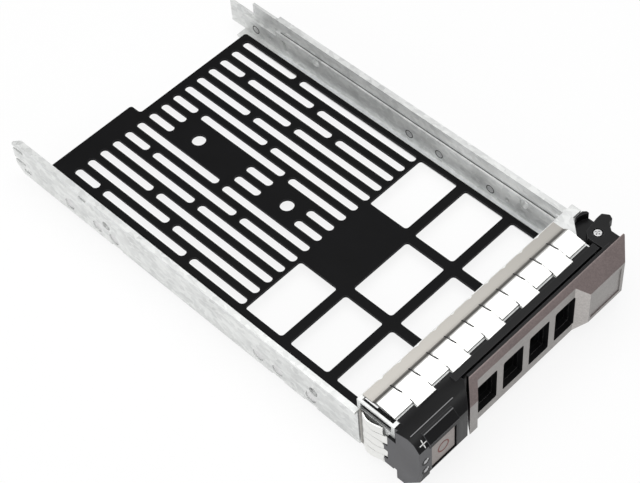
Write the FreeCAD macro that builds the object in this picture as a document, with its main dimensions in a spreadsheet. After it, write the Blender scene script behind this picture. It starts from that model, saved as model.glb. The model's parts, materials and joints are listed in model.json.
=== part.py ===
"""Hot swap drive caddy: a perforated tray between two folded rails, closed by a hinged front handle.

X runs across the bay towards the hinge, Y towards the rear and Z up.  The origin is on the top face of
the tray, on the centreline of the bay, midway between the drive's side screw holes.  Sizes are in
millimetres.
"""
import FreeCAD, Part
import os
import re
import Sketcher

SIZES = {
    # bay and tray
    "bay_width": (102.0, "clear width between the inner angles"),
    "sheet": (1.0, "thickness of the folded galvanised sheet"),
    "plate_gauge": (1.0, "thickness of the tray"),
    "plate_side_gap": (2.5, "tray edge to bay wall"),
    "plate_lap": (2.0, "tray edge resting on the angle's foot"),
    "plate_rear": (91.5, "tray rear edge behind the origin"),
    "plate_step": (5.1, "step forward of the rear edge on the hinge side"),
    "plate_step_place": (6.1, "step left of the centreline"),
    "plate_front": (74.0, "tray front edge ahead of the origin"),
    "plate_corner": (1.2, "tray corner radius"),
    # pattern of vent slots and windows in the tray
    "slot_side_margin": (8.65, "outermost slot columns to the bay walls, before the offset"),
    "slot_width": (3.28, "slot width"),
    "slot_offset": (2.25, "middle slot column right of the centreline"),
    "slot_bridge": (2.78, "metal between two slots in a column"),
    "slot_row_pitch": (15.23, "spacing of the places where slots can break"),
    "slot_rear_margin": (6.83, "first break ahead of the tray's rear edge"),
    "vent_hole_radius": (2.66, "round holes between the middle columns"),
    "vent_hole_rear": (24.55, "rear round hole ahead of the first break"),
    "vent_hole_spacing": (45.8, "spacing of the two round holes"),
    "window_side_margin": (6.96, "outermost large windows to the bay walls, before the offset"),
    "window_length": (17.75, "large window along the tray"),
    "window_bar": (3.75, "metal between large windows"),
    "window_offset": (2.18, "middle of the window pattern right of the centreline"),
    "window_front_margin": (6.6, "front windows to the tray's front edge"),
    "window_corner": (1.3, "corner radius of the large windows"),
    # inner angles
    "angle_height": (8.8, "angle wall above the tray"),
    "angle_front": (64.0, "angle front end ahead of the origin"),
    "angle_rear_trim": (2.2, "right angle shorter than the tray at the rear"),
    "angle_tail_length": (17.5, "lowered rear stretch of the right angle"),
    "angle_tail_drop": (2.4, "how far that stretch is lowered"),
    # side rails
    "rail_drop": (0.7, "rail lower edge below the angles"),
    "rail_lip": (1.3, "rail top flange outward"),
    "left_rail_height": (16.8, "left rail above the tray"),
    "right_rail_height": (14.2, "right rail above the tray"),
    "rail_front": (71.0, "rail front end ahead of the origin"),
    "left_rail_tail": (9.9, "left rail behind the tray"),
    "right_rail_tail": (6.3, "right rail behind the tray"),
    "right_lip_setback": (26.0, "right flange starts ahead of the rail tip"),
    "right_tip_length": (13.3, "low rear tip of the right rail"),
    "right_tip_height": (8.1, "height of that tip above the tray"),
    "prong_notch": (1.6, "notches between the left rail's rear prongs"),
    "prong_notch_depth": (6.0, "depth of those notches"),
    "prong_notch_low": (3.85, "lower notch above the tray"),
    "prong_notch_pitch": (6.1, "spacing of the two notches"),
    "prong_slope_length": (6.0, "slope of the upper prong's end along the rail"),
    "prong_slope_height": (5.0, "slope of the upper prong's end in height"),
    "prong_heel": (3.4, "bevel under the lowest prong"),
    "prong_slot_length": (3.8, "small slot above that bevel"),
    "prong_slot_width": (1.5, "width of that slot"),
    "prong_slot_height": (0.3, "that slot above the tray"),
    "prong_slot_setback": (4.2, "that slot ahead of the rail's end"),
    "edge_notch_length": (5.6, "shallow notches in the left rail's lower edge"),
    "keying_slot_width": (1.6, "small keying slots in the rails"),
    "keying_slot_length": (4.0, "length of the keying slots"),
    "left_slot_height": (11.5, "left keying slot above the tray"),
    "tool_hole_radius": (0.9, "small tooling holes in the right angle"),
    "tool_hole_height": (2.7, "tooling holes above the tray"),
    "hook_slot_width": (2.0, "slanted slot in the right angle"),
    "hook_slot_rear": (68.8, "upper end of the slanted slot behind the origin"),
    "hook_slot_top": (6.0, "upper end of the slanted slot above the tray"),
    "hook_slot_length": (3.7, "slanted slot along the angle"),
    "hook_slot_fall": (4.8, "slanted slot in height"),
    # drive screws and rivets
    "drive_hole_spacing": (101.6, "drive side screw holes along the bay"),
    "drive_hole_height": (6.35, "drive side screw holes above the tray"),
    "drive_hole_radius": (1.9, "drive side screw holes"),
    "rivet_shank": (1.5, "rivet radius through the angle"),
    "rivet_head": (2.4, "rivet head radius in the rail"),
    "rivet_sink": (0.4, "rivet head below the rail's outer face"),
    "left_rivet_height": (1.5, "left rivets above the tray"),
    "right_rivet_height": (2.2, "right rivets above the tray"),
    "plate_rivet_radius": (1.4, "rivets from the tray to the front frame"),
    "plate_rivet_head": (2.2, "radius of their flush heads"),
    "plate_rivet_sink": (0.5, "depth of their flush heads"),
    "plate_rivet_pitch": (34.0, "spacing of those rivets"),
    # front frame and gaskets
    "frame_lap": (4.0, "tray lying on the floor of the front frame"),
    "frame_depth": (16.0, "front frame from rear to front"),
    "frame_height": (23.6, "front frame outside height"),
    "frame_ear": (5.8, "side ears of the frame reaching back along the rails"),
    "frame_ear_height": (12.0, "height of the ears"),
    "relief_slot": (1.7, "slot in the frame's roof beside the top gasket"),
    "relief_margin": (1.5, "slot to the frame's front and rear edges"),
    "relief_depth": (3.4, "window in the left wall under the slot"),
    "gasket_sheet": (0.4, "gasket spring sheet"),
    "gasket_inset": (0.5, "gasket edge from the frame's edges"),
    "gasket_left_gap": (1.2, "left end of the gasket from the bay wall"),
    "gasket_flat": (4.0, "flat strip of the gasket"),
    "gasket_rise": (2.3, "length of the ramp up to the crest"),
    "gasket_crest": (1.4, "crest above the flat strip"),
    "gasket_hinge_gap": (6.3, "top gasket stops short of the hinge pin"),
    "gasket_slit": (0.35, "slit between fingers"),
    "finger_step": (1.6, "short fingers behind the long ones"),
    "left_gasket_height": (19.6, "left gasket strip"),
    "left_gasket_bulge": (1.6, "left gasket outward"),
    "left_gasket_length": (11.9, "left gasket along the frame"),
    "left_gasket_flat": (1.2, "flat strip of the left gasket"),
    "left_gasket_crest": (4.0, "crest of the left gasket ahead of its rear edge"),
    # bezel
    "bezel_overhang": (0.1, "bezel ends beyond the rails"),
    "block_width": (28.1, "latch block of the bezel"),
    "block_slant": (6.0, "how far its end slants back to the front"),
    "bezel_wall": (2.8, "wall behind the handle"),
    "bezel_rise": (1.0, "that wall above the frame"),
    "bezel_foot": (3.0, "bezel below the frame"),
    "foot_step": (1.4, "foot ahead of the frame's front edge"),
    "foot_length": (3.1, "flat under the foot"),
    "crest_rise": (1.9, "crest of the latch block above the frame"),
    "crest_setback": (4.9, "crest behind the front face"),
    "brow_drop": (0.7, "brow below the crest"),
    "brow_setback": (2.4, "brow behind the front face"),
    "front_top_drop": (3.5, "front face's top edge below the crest"),
    "front_bottom": (3.5, "front face's lower edge above the tray"),
    "hood_rise": (0.6, "hood over the button above the slope"),
    "hood_reach": (0.4, "hood ahead of the front face"),
    "hood_rim": (1.0, "hood beside the button pocket"),
    "spigot_depth": (3.0, "bezel tongues inside the frame"),
    "spigot_wall": (1.2, "thickness of the tongues"),
    "vent_left": (3.0, "air opening right of the latch block"),
    "vent_right": (8.5, "air opening left of the hinge pin"),
    "vent_bottom": (0.4, "air opening above the tray"),
    "vent_roof_gap": (0.9, "metal between the air opening and the upper tongue"),
    "cheek_low": (0.3, "bezel cheek beside the frame below the tray"),
    "cheek_top": (6.1, "top of the cheek below the frame's top"),
    "cheek_reach": (2.3, "cheek behind the frame's front edge"),
    "cheek_gap": (0.3, "cheek to the left gasket"),
    "button_lip": (0.4, "lip of the bezel under the button"),
    "pocket_rim_gap": (0.3, "hinge pocket's rim below the frame's top"),
    "pocket_rim_radius": (9.3, "inside of that rim around the hinge pin"),
    "pocket_corner": (1.1, "bevel of the hinge pocket's outer corner"),
    # grille
    "grille_gauge": (1.0, "grille thickness"),
    "grille_margin": (1.5, "grille around the air opening"),
    "grille_web": (0.6, "metal between two rows of grille holes"),
    # hinge
    "pivot_inset": (3.0, "hinge pin inside the bay wall"),
    "pivot_setback": (1.8, "hinge pin behind the frame's front edge"),
    "pin_radius": (1.1, "hinge screw shank"),
    "pin_fit": (0.05, "radial running fit of the shank in the lug"),
    "lug_radius": (4.6, "hinge lug"),
    "arm_thickness": (3.4, "lever arms"),
    "arm_fit": (0.2, "arm to lug"),
    "arm_rise": (0.4, "upper arm above the frame"),
    "lower_arm_drop": (2.0, "lower arm below the tray"),
    "arm_left": (3.9, "upper arm left of the pin"),
    "arm_shoulder": (1.2, "start of its rear bevel behind the pin"),
    "arm_neck": (1.8, "end of that bevel left of the pin"),
    "arm_rear": (3.3, "end of that bevel behind the pin"),
    "arm_right": (3.6, "upper arm right of the pin at the face"),
    "arm_throat": (2.8, "throat of the hook ahead of the pin"),
    "hook_root": (4.4, "root of the hook right of the pin"),
    "hook_rear": (4.2, "rear edge of the hook behind the pin"),
    "hook_shoulder": (7.1, "rear corner of the hook right of the pin"),
    "hook_reach": (8.6, "hook tip right of the pin"),
    "hook_beak": (1.8, "hook tip behind the pin"),
    "hook_tip": (7.7, "inner corner of the hook tip right of the pin"),
    "hook_mouth": (6.0, "mouth of the hook right of the pin"),
    "hook_round": (0.7, "rounded corners of the upper arm"),
    "lower_boss": (4.4, "boss of the lower arm"),
    "lower_arm_side": (3.4, "lower arm to each side of the pin"),
    "screw_head": (1.45, "screw head radius"),
    "screw_head_height": (0.9, "screw head height"),
    "screw_seat_gap": (0.45, "seat around the screw head"),
    "screw_slot_length": (1.9, "cross slot of the screw"),
    "screw_slot_width": (0.4, "width of the cross slot"),
    "screw_slot_depth": (0.45, "depth of the cross slot"),
    "housing_gap": (0.4, "bezel housing to the cut corner of the frame"),
    "corner_rear": (10.3, "cut corner behind the hinge pin"),
    "corner_left": (5.8, "cut corner left of the hinge pin"),
    "corner_chamfer": (3.9, "start of the cut corner's bevel behind the pin"),
    "spring_wire": (0.35, "radius of the handle spring's wire"),
    "spring_radius": (2.5, "handle spring's mean radius"),
    "spring_turn": (0.8, "handle spring's rise for each turn"),
    "spring_turns": (4.0, "handle spring's turns"),
    "spring_well_gap": (0.5, "room around the handle spring"),
    "spring_leg_room": (2.4, "depth of the slot for the spring's leg"),
    "spring_leg_gap": (0.35, "room beside the spring's leg"),
    # handle
    "handle_gap": (0.8, "handle clear of the bezel"),
    "lever_thickness": (1.8, "lever plate"),
    "lever_rise": (0.8, "lever plate above the frame"),
    "lever_right": (1.0, "lever plate stops left of the hinge pin"),
    "lever_end_gap": (2.0, "lever plate from the latch block"),
    "face_depth": (6.0, "handle face at its raised ends"),
    "face_web": (2.2, "handle face at its sunk middle"),
    "face_rim": (0.6, "flat rim on top of the face"),
    "face_rise": (2.4, "face above the frame"),
    "face_bevel_drop": (4.5, "top bevel height"),
    "face_low": (4.0, "front face's lower edge above the tray"),
    "chin_drop": (7.1, "lower bevel height"),
    "face_end_gap": (1.0, "handle face from the latch block"),
    "left_foot": (3.7, "raised left end of the face"),
    "foot_ramp": (4.0, "ramp from the left end to the middle"),
    "right_face": (23.5, "raised right end of the face"),
    "right_ramp": (3.4, "ramp from the middle to the right end"),
    "face_right": (4.0, "face beyond the hinge pin"),
    "face_corner": (6.0, "bevelled right corner of the face"),
    "pane_bar": (3.0, "bar between two windows of the handle"),
    "pane_reach": (1.7, "row of windows beyond the sunk middle, with half a bar at each end"),
    "pane_low": (3.0, "windows above the tray"),
    "pane_drop": (3.6, "top of the windows below the frame's top"),
    "pane_corner": (0.8, "window corner radius"),
    "panel_margin": (1.5, "sunk panel from the edges of the right face"),
    "panel_width": (15.0, "sunk panel"),
    "panel_depth": (0.4, "depth of the sunk panel"),
    # button and latch
    "column_width": (5.2, "indicator column left of the button"),
    "button_width": (10.8, "button"),
    "button_drop": (4.1, "button's top edge below the frame's top"),
    "button_low": (5.5, "button's lower edge above the tray"),
    "button_sink": (0.4, "button face behind the front face"),
    "button_body": (3.4, "button thickness"),
    "button_gap": (0.3, "button to its pocket"),
    "button_head_room": (1.1, "pocket above the button"),
    "button_travel": (2.5, "button travel"),
    "wedge_ratio": (0.6, "latch travel for each unit of button travel"),
    "wedge_gap": (0.15, "button tail to latch"),
    "tail_width": (2.05, "tip of the button tail"),
    "tail_entry": (0.5, "button tail inside the latch at rest"),
    "button_stop": (0.6, "pressed button to the latch slider"),
    "latch_depth": (3.0, "latch slider front to back"),
    "latch_height": (5.0, "latch slider height"),
    "latch_low": (9.0, "latch slider above the tray"),
    "latch_fit": (0.2, "latch slider in its channel"),
    "latch_bar": (0.8, "latch slider above and below its window"),
    "latch_stem": (2.0, "latch slider left of its window"),
    "latch_window_play": (0.45, "room right of the button tail in that window"),
    "latch_left": (9.6, "latch slider from the bezel's left end"),
    "latch_nose_gap": (0.3, "latch nose to lever plate"),
    "latch_spring_length": (4.8, "latch spring at rest"),
    "latch_spring_radius": (1.2, "latch spring's mean radius"),
    "latch_spring_wire": (0.2, "radius of the latch spring's wire"),
    "latch_spring_turns": (4.0, "latch spring's turns"),
    # light pipes
    "pipe_radius": (1.5, "light pipe"),
    "pipe_fit": (0.05, "light pipe in the bezel"),
    "pipe_left": (2.8, "light pipes from the bezel's left end"),
    "pipe_low": (7.7, "lower light pipe above the tray"),
    "pipe_pitch": (5.1, "spacing of the light pipes"),
    # shared
    "overrun": (2.0, "how far a cutting shape passes the face it opens"),
}

# Slot columns from left to right, and for each kind the pairs of breaks that its slots run between.
COLUMNS = "ABCBABDDABCBABC"
SLOT_RUNS = {
    "A": ((0, 1), (1, 4), (4, 6)),
    "B": ((0, 3), (3, 6)),
    "C": ((0, 2), (2, 6)),
    "D": ((0, 1), (3, 4), (5, 6)),
}
WINDOW_GRID = 3
FINGERS = 11
LEFT_FINGERS = 5
GRILLE_COLUMNS = 15
GRILLE_ROWS = 5
PANES = 4
HEX_SIDES = 6
ROUNDING = 1e-6

# Rivets and marks along each rail, as places behind the origin.
LEFT_RIVETS = {
    "left_rivet_a": 71.5,
    "left_rivet_b": 56.4,
    "left_rivet_c": 47.6,
    "left_rivet_d": -24.7,
    "left_rivet_e": -33.8,
    "left_rivet_f": -49.2,
}
RIGHT_RIVETS = {
    "right_rivet_a": 83.0,
    "right_rivet_b": 3.4,
    "right_rivet_c": -11.1,
    "right_rivet_d": -35.3,
}
LEFT_NOTCHES = {
    "left_notch_a": 49.4,
    "left_notch_b": -31.1,
    "left_notch_c": -46.2,
}
KEYING_SLOTS = {
    "left_keying_slot": 62.5,
    "right_keying_slot": 66.0,
}
TOOL_HOLES = {
    "tool_hole_a": 75.1,
    "tool_hole_b": -43.2,
}
for places, note in (
    (LEFT_RIVETS, "left rivet behind the origin"),
    (RIGHT_RIVETS, "right rivet behind the origin"),
    (LEFT_NOTCHES, "left notch behind the origin"),
    (KEYING_SLOTS, "keying slot behind the origin"),
    (TOOL_HOLES, "tooling hole behind the origin"),
):
    for alias, place in places.items():
        SIZES[alias] = (place, note)

doc = FreeCAD.newDocument("drive_caddy")
sheet = doc.addObject("Spreadsheet::Sheet", "Sizes")
for row, (alias, (size, note)) in enumerate(SIZES.items(), start=1):
    sheet.set("A%d" % row, note)
    sheet.set("B%d" % row, str(size))
    sheet.setAlias("B%d" % row, alias)
doc.recompute()


def cells(text):
    """Turn plain words into references to the cells of the sheet."""
    return re.sub(r"[a-z]\w*", lambda word: ("Sizes." if word.group() in SIZES else "") + word.group(), text)


def worth(text):
    """The present value of an expression."""
    return float(sheet.evalExpression(cells(text)))


def bind(item, **settings):
    """Tie properties of an object to the sheet."""
    for name, text in settings.items():
        item.setExpression(name, cells(text))


def place(item, x, y, z):
    """Tie an object's position to the sheet."""
    for axis, text in zip("xyz", (x, y, z)):
        item.setExpression("Placement.Base." + axis, cells(text))


def block(name, x, y, z):
    """A box between pairs of places."""
    item = doc.addObject("Part::Box", name)
    bind(item, Length="(%s) - (%s)" % (x[1], x[0]), Width="(%s) - (%s)" % (y[1], y[0]),
         Height="(%s) - (%s)" % (z[1], z[0]))
    place(item, x[0], y[0], z[0])
    return item


TURNS = {
    "x": FreeCAD.Rotation(FreeCAD.Vector(0, 1, 0), 90),
    "y": FreeCAD.Rotation(FreeCAD.Vector(1, 0, 0), -90),
    "z": FreeCAD.Rotation(),
}


def rod(name, axis, centre, radius, low, high):
    """A round bar along an axis; its centre is given on the other two axes in their order."""
    item = doc.addObject("Part::Cylinder", name)
    item.Placement.Rotation = TURNS[axis]
    bind(item, Radius=radius, Height="(%s) - (%s)" % (high, low))
    where = list(centre)
    where.insert("xyz".index(axis), low)
    place(item, *where)
    return item


def fuse(name, pieces):
    item = doc.addObject("Part::MultiFuse", name)
    item.Shapes = pieces
    return item


def cut(name, base, tools):
    item = doc.addObject("Part::Cut", name)
    item.Base = base
    item.Tool = tools[0] if len(tools) == 1 else fuse(name + "_tools", tools)
    return item


def common(name, first, second):
    item = doc.addObject("Part::Common", name)
    item.Base = first
    item.Tool = second
    return item


PLANES = {"x": "YZ_Plane", "y": "XZ_Plane", "z": "XY_Plane"}


def prism(name, axis, low, high, corners):
    """A bar along an axis with a drawn section; corners are pairs on the other two axes in their order."""
    body = doc.addObject("PartDesign::Body", name)
    plane = [part for part in body.Origin.OriginFeatures if part.Role == PLANES[axis]][0]
    sketch = body.newObject("Sketcher::SketchObject", name + "_section")
    sketch.AttachmentSupport = [(plane, "")]
    sketch.MapMode = "FlatFace"
    points = [FreeCAD.Vector(worth(u), worth(v), 0) for u, v in corners]
    count = len(points)
    for number in range(count):
        sketch.addGeometry(Part.LineSegment(points[number], points[(number + 1) % count]))
    for number in range(count):
        sketch.addConstraint(Sketcher.Constraint("Coincident", number, 2, (number + 1) % count, 1))
    for number, (u, v) in enumerate(corners):
        for kind, text in (("DistanceX", u), ("DistanceY", v)):
            size = sketch.addConstraint(Sketcher.Constraint(kind, -1, 1, number, 1, worth(text)))
            sketch.setExpression("Constraints[%d]" % size, cells(text))
    pad = body.newObject("PartDesign::Pad", name + "_pad")
    pad.Profile = sketch
    bind(pad, Length="(%s) - (%s)" % (high, low))
    pad.Reversed = axis == "y"
    body.setExpression("Placement.Base." + axis, cells(low))
    return body


def soften(body, name, radius, wanted):
    """Round those edges of a body that a test picks."""
    doc.recompute()
    sharp = body.Tip
    edges = ["Edge%d" % number for number, edge in enumerate(sharp.Shape.Edges, start=1) if wanted(edge)]
    fillet = body.newObject("PartDesign::Fillet", name)
    fillet.Base = (sharp, edges)
    bind(fillet, Radius=radius)


def upright(edge):
    first, last = (vertex.Point for vertex in edge.Vertexes)
    return abs(first.x - last.x) + abs(first.y - last.y) < ROUNDING


def capsule(name, axis, through, centre, width, low, high, depth):
    """A round-ended slot: it runs along one axis between two places and passes through another."""
    third = ({"x", "y", "z"} - {axis, through}).pop()
    half = "(%s) / 2" % width
    span = {
        axis: ("%s + %s" % (low, half), "%s - %s" % (high, half)),
        through: depth,
        third: ("%s - %s" % (centre, half), "%s + %s" % (centre, half)),
    }
    pieces = [block(name + "_middle", span["x"], span["y"], span["z"])]
    for end, text in zip("ab", span[axis]):
        spot = {axis: text, third: centre}
        pieces.append(rod(name + "_end_" + end, through, [spot[way] for way in "xyz" if way != through],
                          half, *depth))
    return pieces


def rounded_block(name, through, first, second, radius, depth):
    """A box through one axis with its four edges along that axis rounded."""
    ways = [way for way in "xyz" if way != through]
    pieces = []
    for number in range(2):
        span = {ways[0]: list(first), ways[1]: list(second), through: depth}
        span[ways[number]][0] += " + " + radius
        span[ways[number]][1] += " - " + radius
        pieces.append(block("%s_bar_%d" % (name, number), span["x"], span["y"], span["z"]))
    for number in range(4):
        signs = (" + ", " - ")
        u = first[number % 2] + signs[number % 2] + radius
        v = second[number // 2] + signs[number // 2] + radius
        pieces.append(rod("%s_corner_%d" % (name, number), through, (u, v), radius, *depth))
    return pieces


NODES = []


def node(item, name):
    item.Label = name
    NODES.append(item)


def sided(side, low, high):
    """A stretch across the bay, mirrored for the left side."""
    if side == "right":
        return (low, high)
    return ("-(%s)" % high, "-(%s)" % low)


def minus(text):
    return "-(%s)" % text


# Places shared by several pieces.
HALF_BAY = "bay_width / 2"
ANGLE_X = HALF_BAY + " + sheet"
RAIL_X = ANGLE_X + " + sheet"
LIP_X = RAIL_X + " + rail_lip"
PLATE_X = HALF_BAY + " - plate_side_gap"
FLOOR = "-plate_gauge"
ANGLE_LOW = FLOOR + " - sheet"
RAIL_LOW = ANGLE_LOW + " - rail_drop"
DRIVE_Y = "drive_hole_spacing / 2"
FRAME_REAR = "-plate_front + frame_lap"
FRAME_FRONT = FRAME_REAR + " - frame_depth"
FRAME_TOP = ANGLE_LOW + " + frame_height"
PIVOT_X = HALF_BAY + " - pivot_inset"
PIVOT_Y = FRAME_FRONT + " + pivot_setback"
WALL_FRONT = FRAME_FRONT + " - bezel_wall"
LEVER_REAR = WALL_FRONT + " - handle_gap"
LEVER_FRONT = LEVER_REAR + " - lever_thickness"
FACE_FRONT = LEVER_FRONT + " - face_depth"
BEZEL_LEFT = minus(RAIL_X + " + bezel_overhang")
BLOCK_END = BEZEL_LEFT + " + block_width"
BEZEL_TOP = FRAME_TOP + " + bezel_rise"
CREST = FRAME_TOP + " + crest_rise"
ARM_TOP = FRAME_TOP + " + arm_rise"
ARM_LOW = ARM_TOP + " - arm_thickness"
LUG_TOP = ARM_LOW + " - arm_fit"
LOWER_ARM_TOP = "-lower_arm_drop + arm_thickness"
LUG_LOW = LOWER_ARM_TOP + " + arm_fit"
VENT_LEFT = BLOCK_END + " + vent_left"
VENT_RIGHT = PIVOT_X + " - vent_right"
VENT_TOP = FRAME_TOP + " - sheet - spigot_wall - vent_roof_gap"
FACE_TOP = FRAME_TOP + " + face_rise"
GASKET_RIGHT = PIVOT_X + " - gasket_hinge_gap"
GASKET_LEFT = minus(HALF_BAY + " - gasket_left_gap")
FINGER_PITCH = "((%s) - (%s)) / %d" % (GASKET_RIGHT, GASKET_LEFT, FINGERS)
SLOT_PITCH = "(bay_width - slot_side_margin * 2) / %d" % (len(COLUMNS) - 1)
WINDOW_WIDTH = "(bay_width - window_side_margin * 2 - window_bar * %d) / %d" % (WINDOW_GRID - 1, WINDOW_GRID)


def drive_holes(side):
    """The two screw holes that the drive is held by, through angle and rail."""
    depth = sided(side, HALF_BAY + " - overrun", LIP_X + " + overrun")
    return [
        rod("%s_drive_hole_%s" % (side, end), "x", (sign + DRIVE_Y, "drive_hole_height"), "drive_hole_radius",
            *depth)
        for end, sign in (("rear", ""), ("front", "-"))
    ]


PLATE_RIVETS = [
    ("plate_rivet_pitch * %d" % number, "-plate_front + frame_lap / 2")
    for number in range(-1, 2)
]


def build_base_plate():
    rear_right = "plate_rear - plate_step"
    outline = (
        (minus(PLATE_X), "-plate_front"), (PLATE_X, "-plate_front"), (PLATE_X, rear_right),
        ("-plate_step_place", rear_right), ("-plate_step_place", "plate_rear"),
        (minus(PLATE_X), "plate_rear"),
    )
    blank = prism("plate_blank", "z", FLOOR, "0", outline)
    soften(blank, "plate_corners", "plate_corner", upright)
    depth = (FLOOR + " - overrun", "overrun")
    first_break = "plate_rear - slot_rear_margin"
    holes = []
    for column, kind in enumerate(COLUMNS):
        centre = "slot_offset + %s * %d" % (SLOT_PITCH, column - len(COLUMNS) // 2)
        for rear, front in SLOT_RUNS[kind]:
            low = "%s - slot_row_pitch * %d + slot_bridge / 2" % (first_break, front)
            high = "%s - slot_row_pitch * %d - slot_bridge / 2" % (first_break, rear)
            name = "slot_%d_%d" % (column, rear)
            holes += capsule(name, "y", "z", centre, "slot_width", low, high, depth)
    between = "slot_offset - %s / 2" % SLOT_PITCH
    rear_hole = first_break + " - vent_hole_rear"
    for name, y in (("vent_hole_a", rear_hole), ("vent_hole_b", rear_hole + " - vent_hole_spacing")):
        holes.append(rod(name, "z", (between, y), "vent_hole_radius", *depth))
    for column in range(WINDOW_GRID):
        for line in range(WINDOW_GRID):
            if (column, line) == (1, WINDOW_GRID - 1):
                continue
            left = "window_offset - {0} / 2 + ({0} + window_bar) * {1}".format(WINDOW_WIDTH, column - 1)
            front = "-plate_front + window_front_margin + (window_length + window_bar) * %d" % line
            holes += rounded_block("window_%d_%d" % (column, line), "z", (left, left + " + " + WINDOW_WIDTH),
                                   (front, front + " + window_length"), "window_corner", depth)
    for number, centre in enumerate(PLATE_RIVETS):
        holes.append(rod("plate_rivet_hole_%d" % number, "z", centre, "plate_rivet_radius", *depth))
        holes.append(rod("plate_rivet_seat_%d" % number, "z", centre, "plate_rivet_head", "-plate_rivet_sink",
                         "overrun"))
    node(cut("base_plate", blank, holes), "base_plate")


def rivet_places(side):
    places = LEFT_RIVETS if side == "left" else RIGHT_RIVETS
    return [(alias, side + "_rivet_height") for alias in places]


def build_angle(side):
    sign = "" if side == "right" else "-"
    foot = PLATE_X + " - plate_lap"
    section = [(foot, ANGLE_LOW), (ANGLE_X, ANGLE_LOW), (ANGLE_X, "angle_height"), (HALF_BAY, "angle_height"),
               (HALF_BAY, FLOOR), (foot, FLOOR)]
    if sign:
        section = [(minus(x), z) for x, z in section]
    rear = "plate_rear - angle_rear_trim" if side == "right" else "plate_rear"
    blank = prism(side + "_angle_blank", "y", "-angle_front", rear, section)
    wall = sided(side, HALF_BAY + " - overrun", ANGLE_X + " + overrun")
    tools = drive_holes(side)
    tools += [rod("%s_angle_hole" % alias, "x", (alias, height), "rivet_shank", *wall)
              for alias, height in rivet_places(side)]
    if side == "right":
        tools.append(block("right_angle_tail", wall, (rear + " - angle_tail_length", rear + " + overrun"),
                           ("angle_height - angle_tail_drop", "angle_height + overrun")))
        tools += [rod(alias + "_cut", "x", (alias, "tool_hole_height"), "tool_hole_radius", *wall)
                  for alias in TOOL_HOLES]
        slot_front = "hook_slot_rear - hook_slot_length"
        slot_low = "hook_slot_top - hook_slot_fall"
        tools.append(prism("hook_slot", "x", wall[0], wall[1], (
            ("hook_slot_rear", "hook_slot_top"), ("hook_slot_rear - hook_slot_width", "hook_slot_top"),
            (slot_front, slot_low), (slot_front + " + hook_slot_width", slot_low))))
    node(cut(side + "_inner_angle", blank, tools), side + "_inner_angle")


def build_rail(side):
    height = side + "_rail_height"
    lip_low = height + " - sheet"
    section = [(ANGLE_X, RAIL_LOW), (RAIL_X, RAIL_LOW), (RAIL_X, lip_low), (LIP_X, lip_low), (LIP_X, height),
               (ANGLE_X, height)]
    if side == "left":
        section = [(minus(x), z) for x, z in section]
    tip = "plate_rear + %s_rail_tail" % side
    blank = prism(side + "_rail_blank", "y", "-rail_front", tip, section)
    wall = sided(side, ANGLE_X + " - overrun", LIP_X + " + overrun")
    tools = drive_holes(side)
    tools += [rod("%s_rail_hole" % alias, "x", (alias, level), "rivet_head", *wall)
              for alias, level in rivet_places(side)]
    slot = side + "_keying_slot"
    if side == "left":
        tools += capsule(slot + "_cut", "y", "x", "left_slot_height", "keying_slot_width",
                         slot + " - keying_slot_length / 2", slot + " + keying_slot_length / 2", wall)
        for number in range(2):
            level = "prong_notch_low + prong_notch_pitch * %d" % number
            tools += capsule("prong_notch_%d" % number, "y", "x", level, "prong_notch",
                             tip + " - prong_notch_depth", tip + " + overrun", wall)
        slot_rear = tip + " - prong_slot_setback"
        tools += capsule("prong_slot", "y", "x", "prong_slot_height", "prong_slot_width",
                         slot_rear + " - prong_slot_length", slot_rear, wall)
        slope_low = height + " - prong_slope_height"
        tools.append(prism("prong_slope", "x", wall[0], wall[1], (
            (tip + " - prong_slope_length", height), (tip, slope_low), (tip + " + overrun", slope_low),
            (tip + " + overrun", height + " + overrun"),
            (tip + " - prong_slope_length", height + " + overrun"))))
        tools.append(prism("prong_heel_cut", "x", wall[0], wall[1], (
            (tip + " - prong_heel", RAIL_LOW + " - overrun"), (tip + " + overrun", RAIL_LOW + " - overrun"),
            (tip + " + overrun", RAIL_LOW + " + prong_heel"), (tip, RAIL_LOW + " + prong_heel"),
            (tip + " - prong_heel", RAIL_LOW))))
        tools += [block(alias + "_cut", wall, (alias + " - edge_notch_length", alias),
                        (RAIL_LOW + " - overrun", ANGLE_LOW)) for alias in LEFT_NOTCHES]
    else:
        tools += capsule(slot + "_cut", "y", "x", "right_tip_height + rivet_shank", "keying_slot_width",
                         slot + " - keying_slot_length / 2", slot + " + keying_slot_length / 2", wall)
        tools.append(block("right_lip_trim", (RAIL_X, LIP_X + " + overrun"),
                           (tip + " - right_lip_setback", tip + " + overrun"),
                           (lip_low + " - overrun", height + " + overrun")))
        tools.append(block("right_tip_trim", wall, (tip + " - right_tip_length", tip + " + overrun"),
                           ("right_tip_height", height + " + overrun")))
    node(cut(side + "_side_rail", blank, tools), side + "_side_rail")


def build_rail_rivets(side):
    pieces = []
    for alias, height in rivet_places(side):
        shank = rod(alias + "_shank", "x", (alias, height), "rivet_shank", *sided(side, HALF_BAY, ANGLE_X))
        head = rod(alias + "_head", "x", (alias, height), "rivet_head",
                   *sided(side, ANGLE_X, RAIL_X + " - rivet_sink"))
        pieces.append(fuse(alias + "_rivet", [shank, head]))
    rivets = doc.addObject("Part::Compound", side + "_rail_rivets")
    rivets.Links = pieces
    node(rivets, side + "_rail_rivets")


def build_plate_rivets():
    pieces = []
    for number, centre in enumerate(PLATE_RIVETS):
        shank = rod("plate_rivet_shank_%d" % number, "z", centre, "plate_rivet_radius", ANGLE_LOW,
                    "-plate_rivet_sink")
        head = rod("plate_rivet_disc_%d" % number, "z", centre, "plate_rivet_head", "-plate_rivet_sink", "0")
        pieces.append(fuse("plate_rivet_%d" % number, [shank, head]))
    rivets = doc.addObject("Part::Compound", "plate_rivets")
    rivets.Links = pieces
    node(rivets, "plate_rivets")


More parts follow.
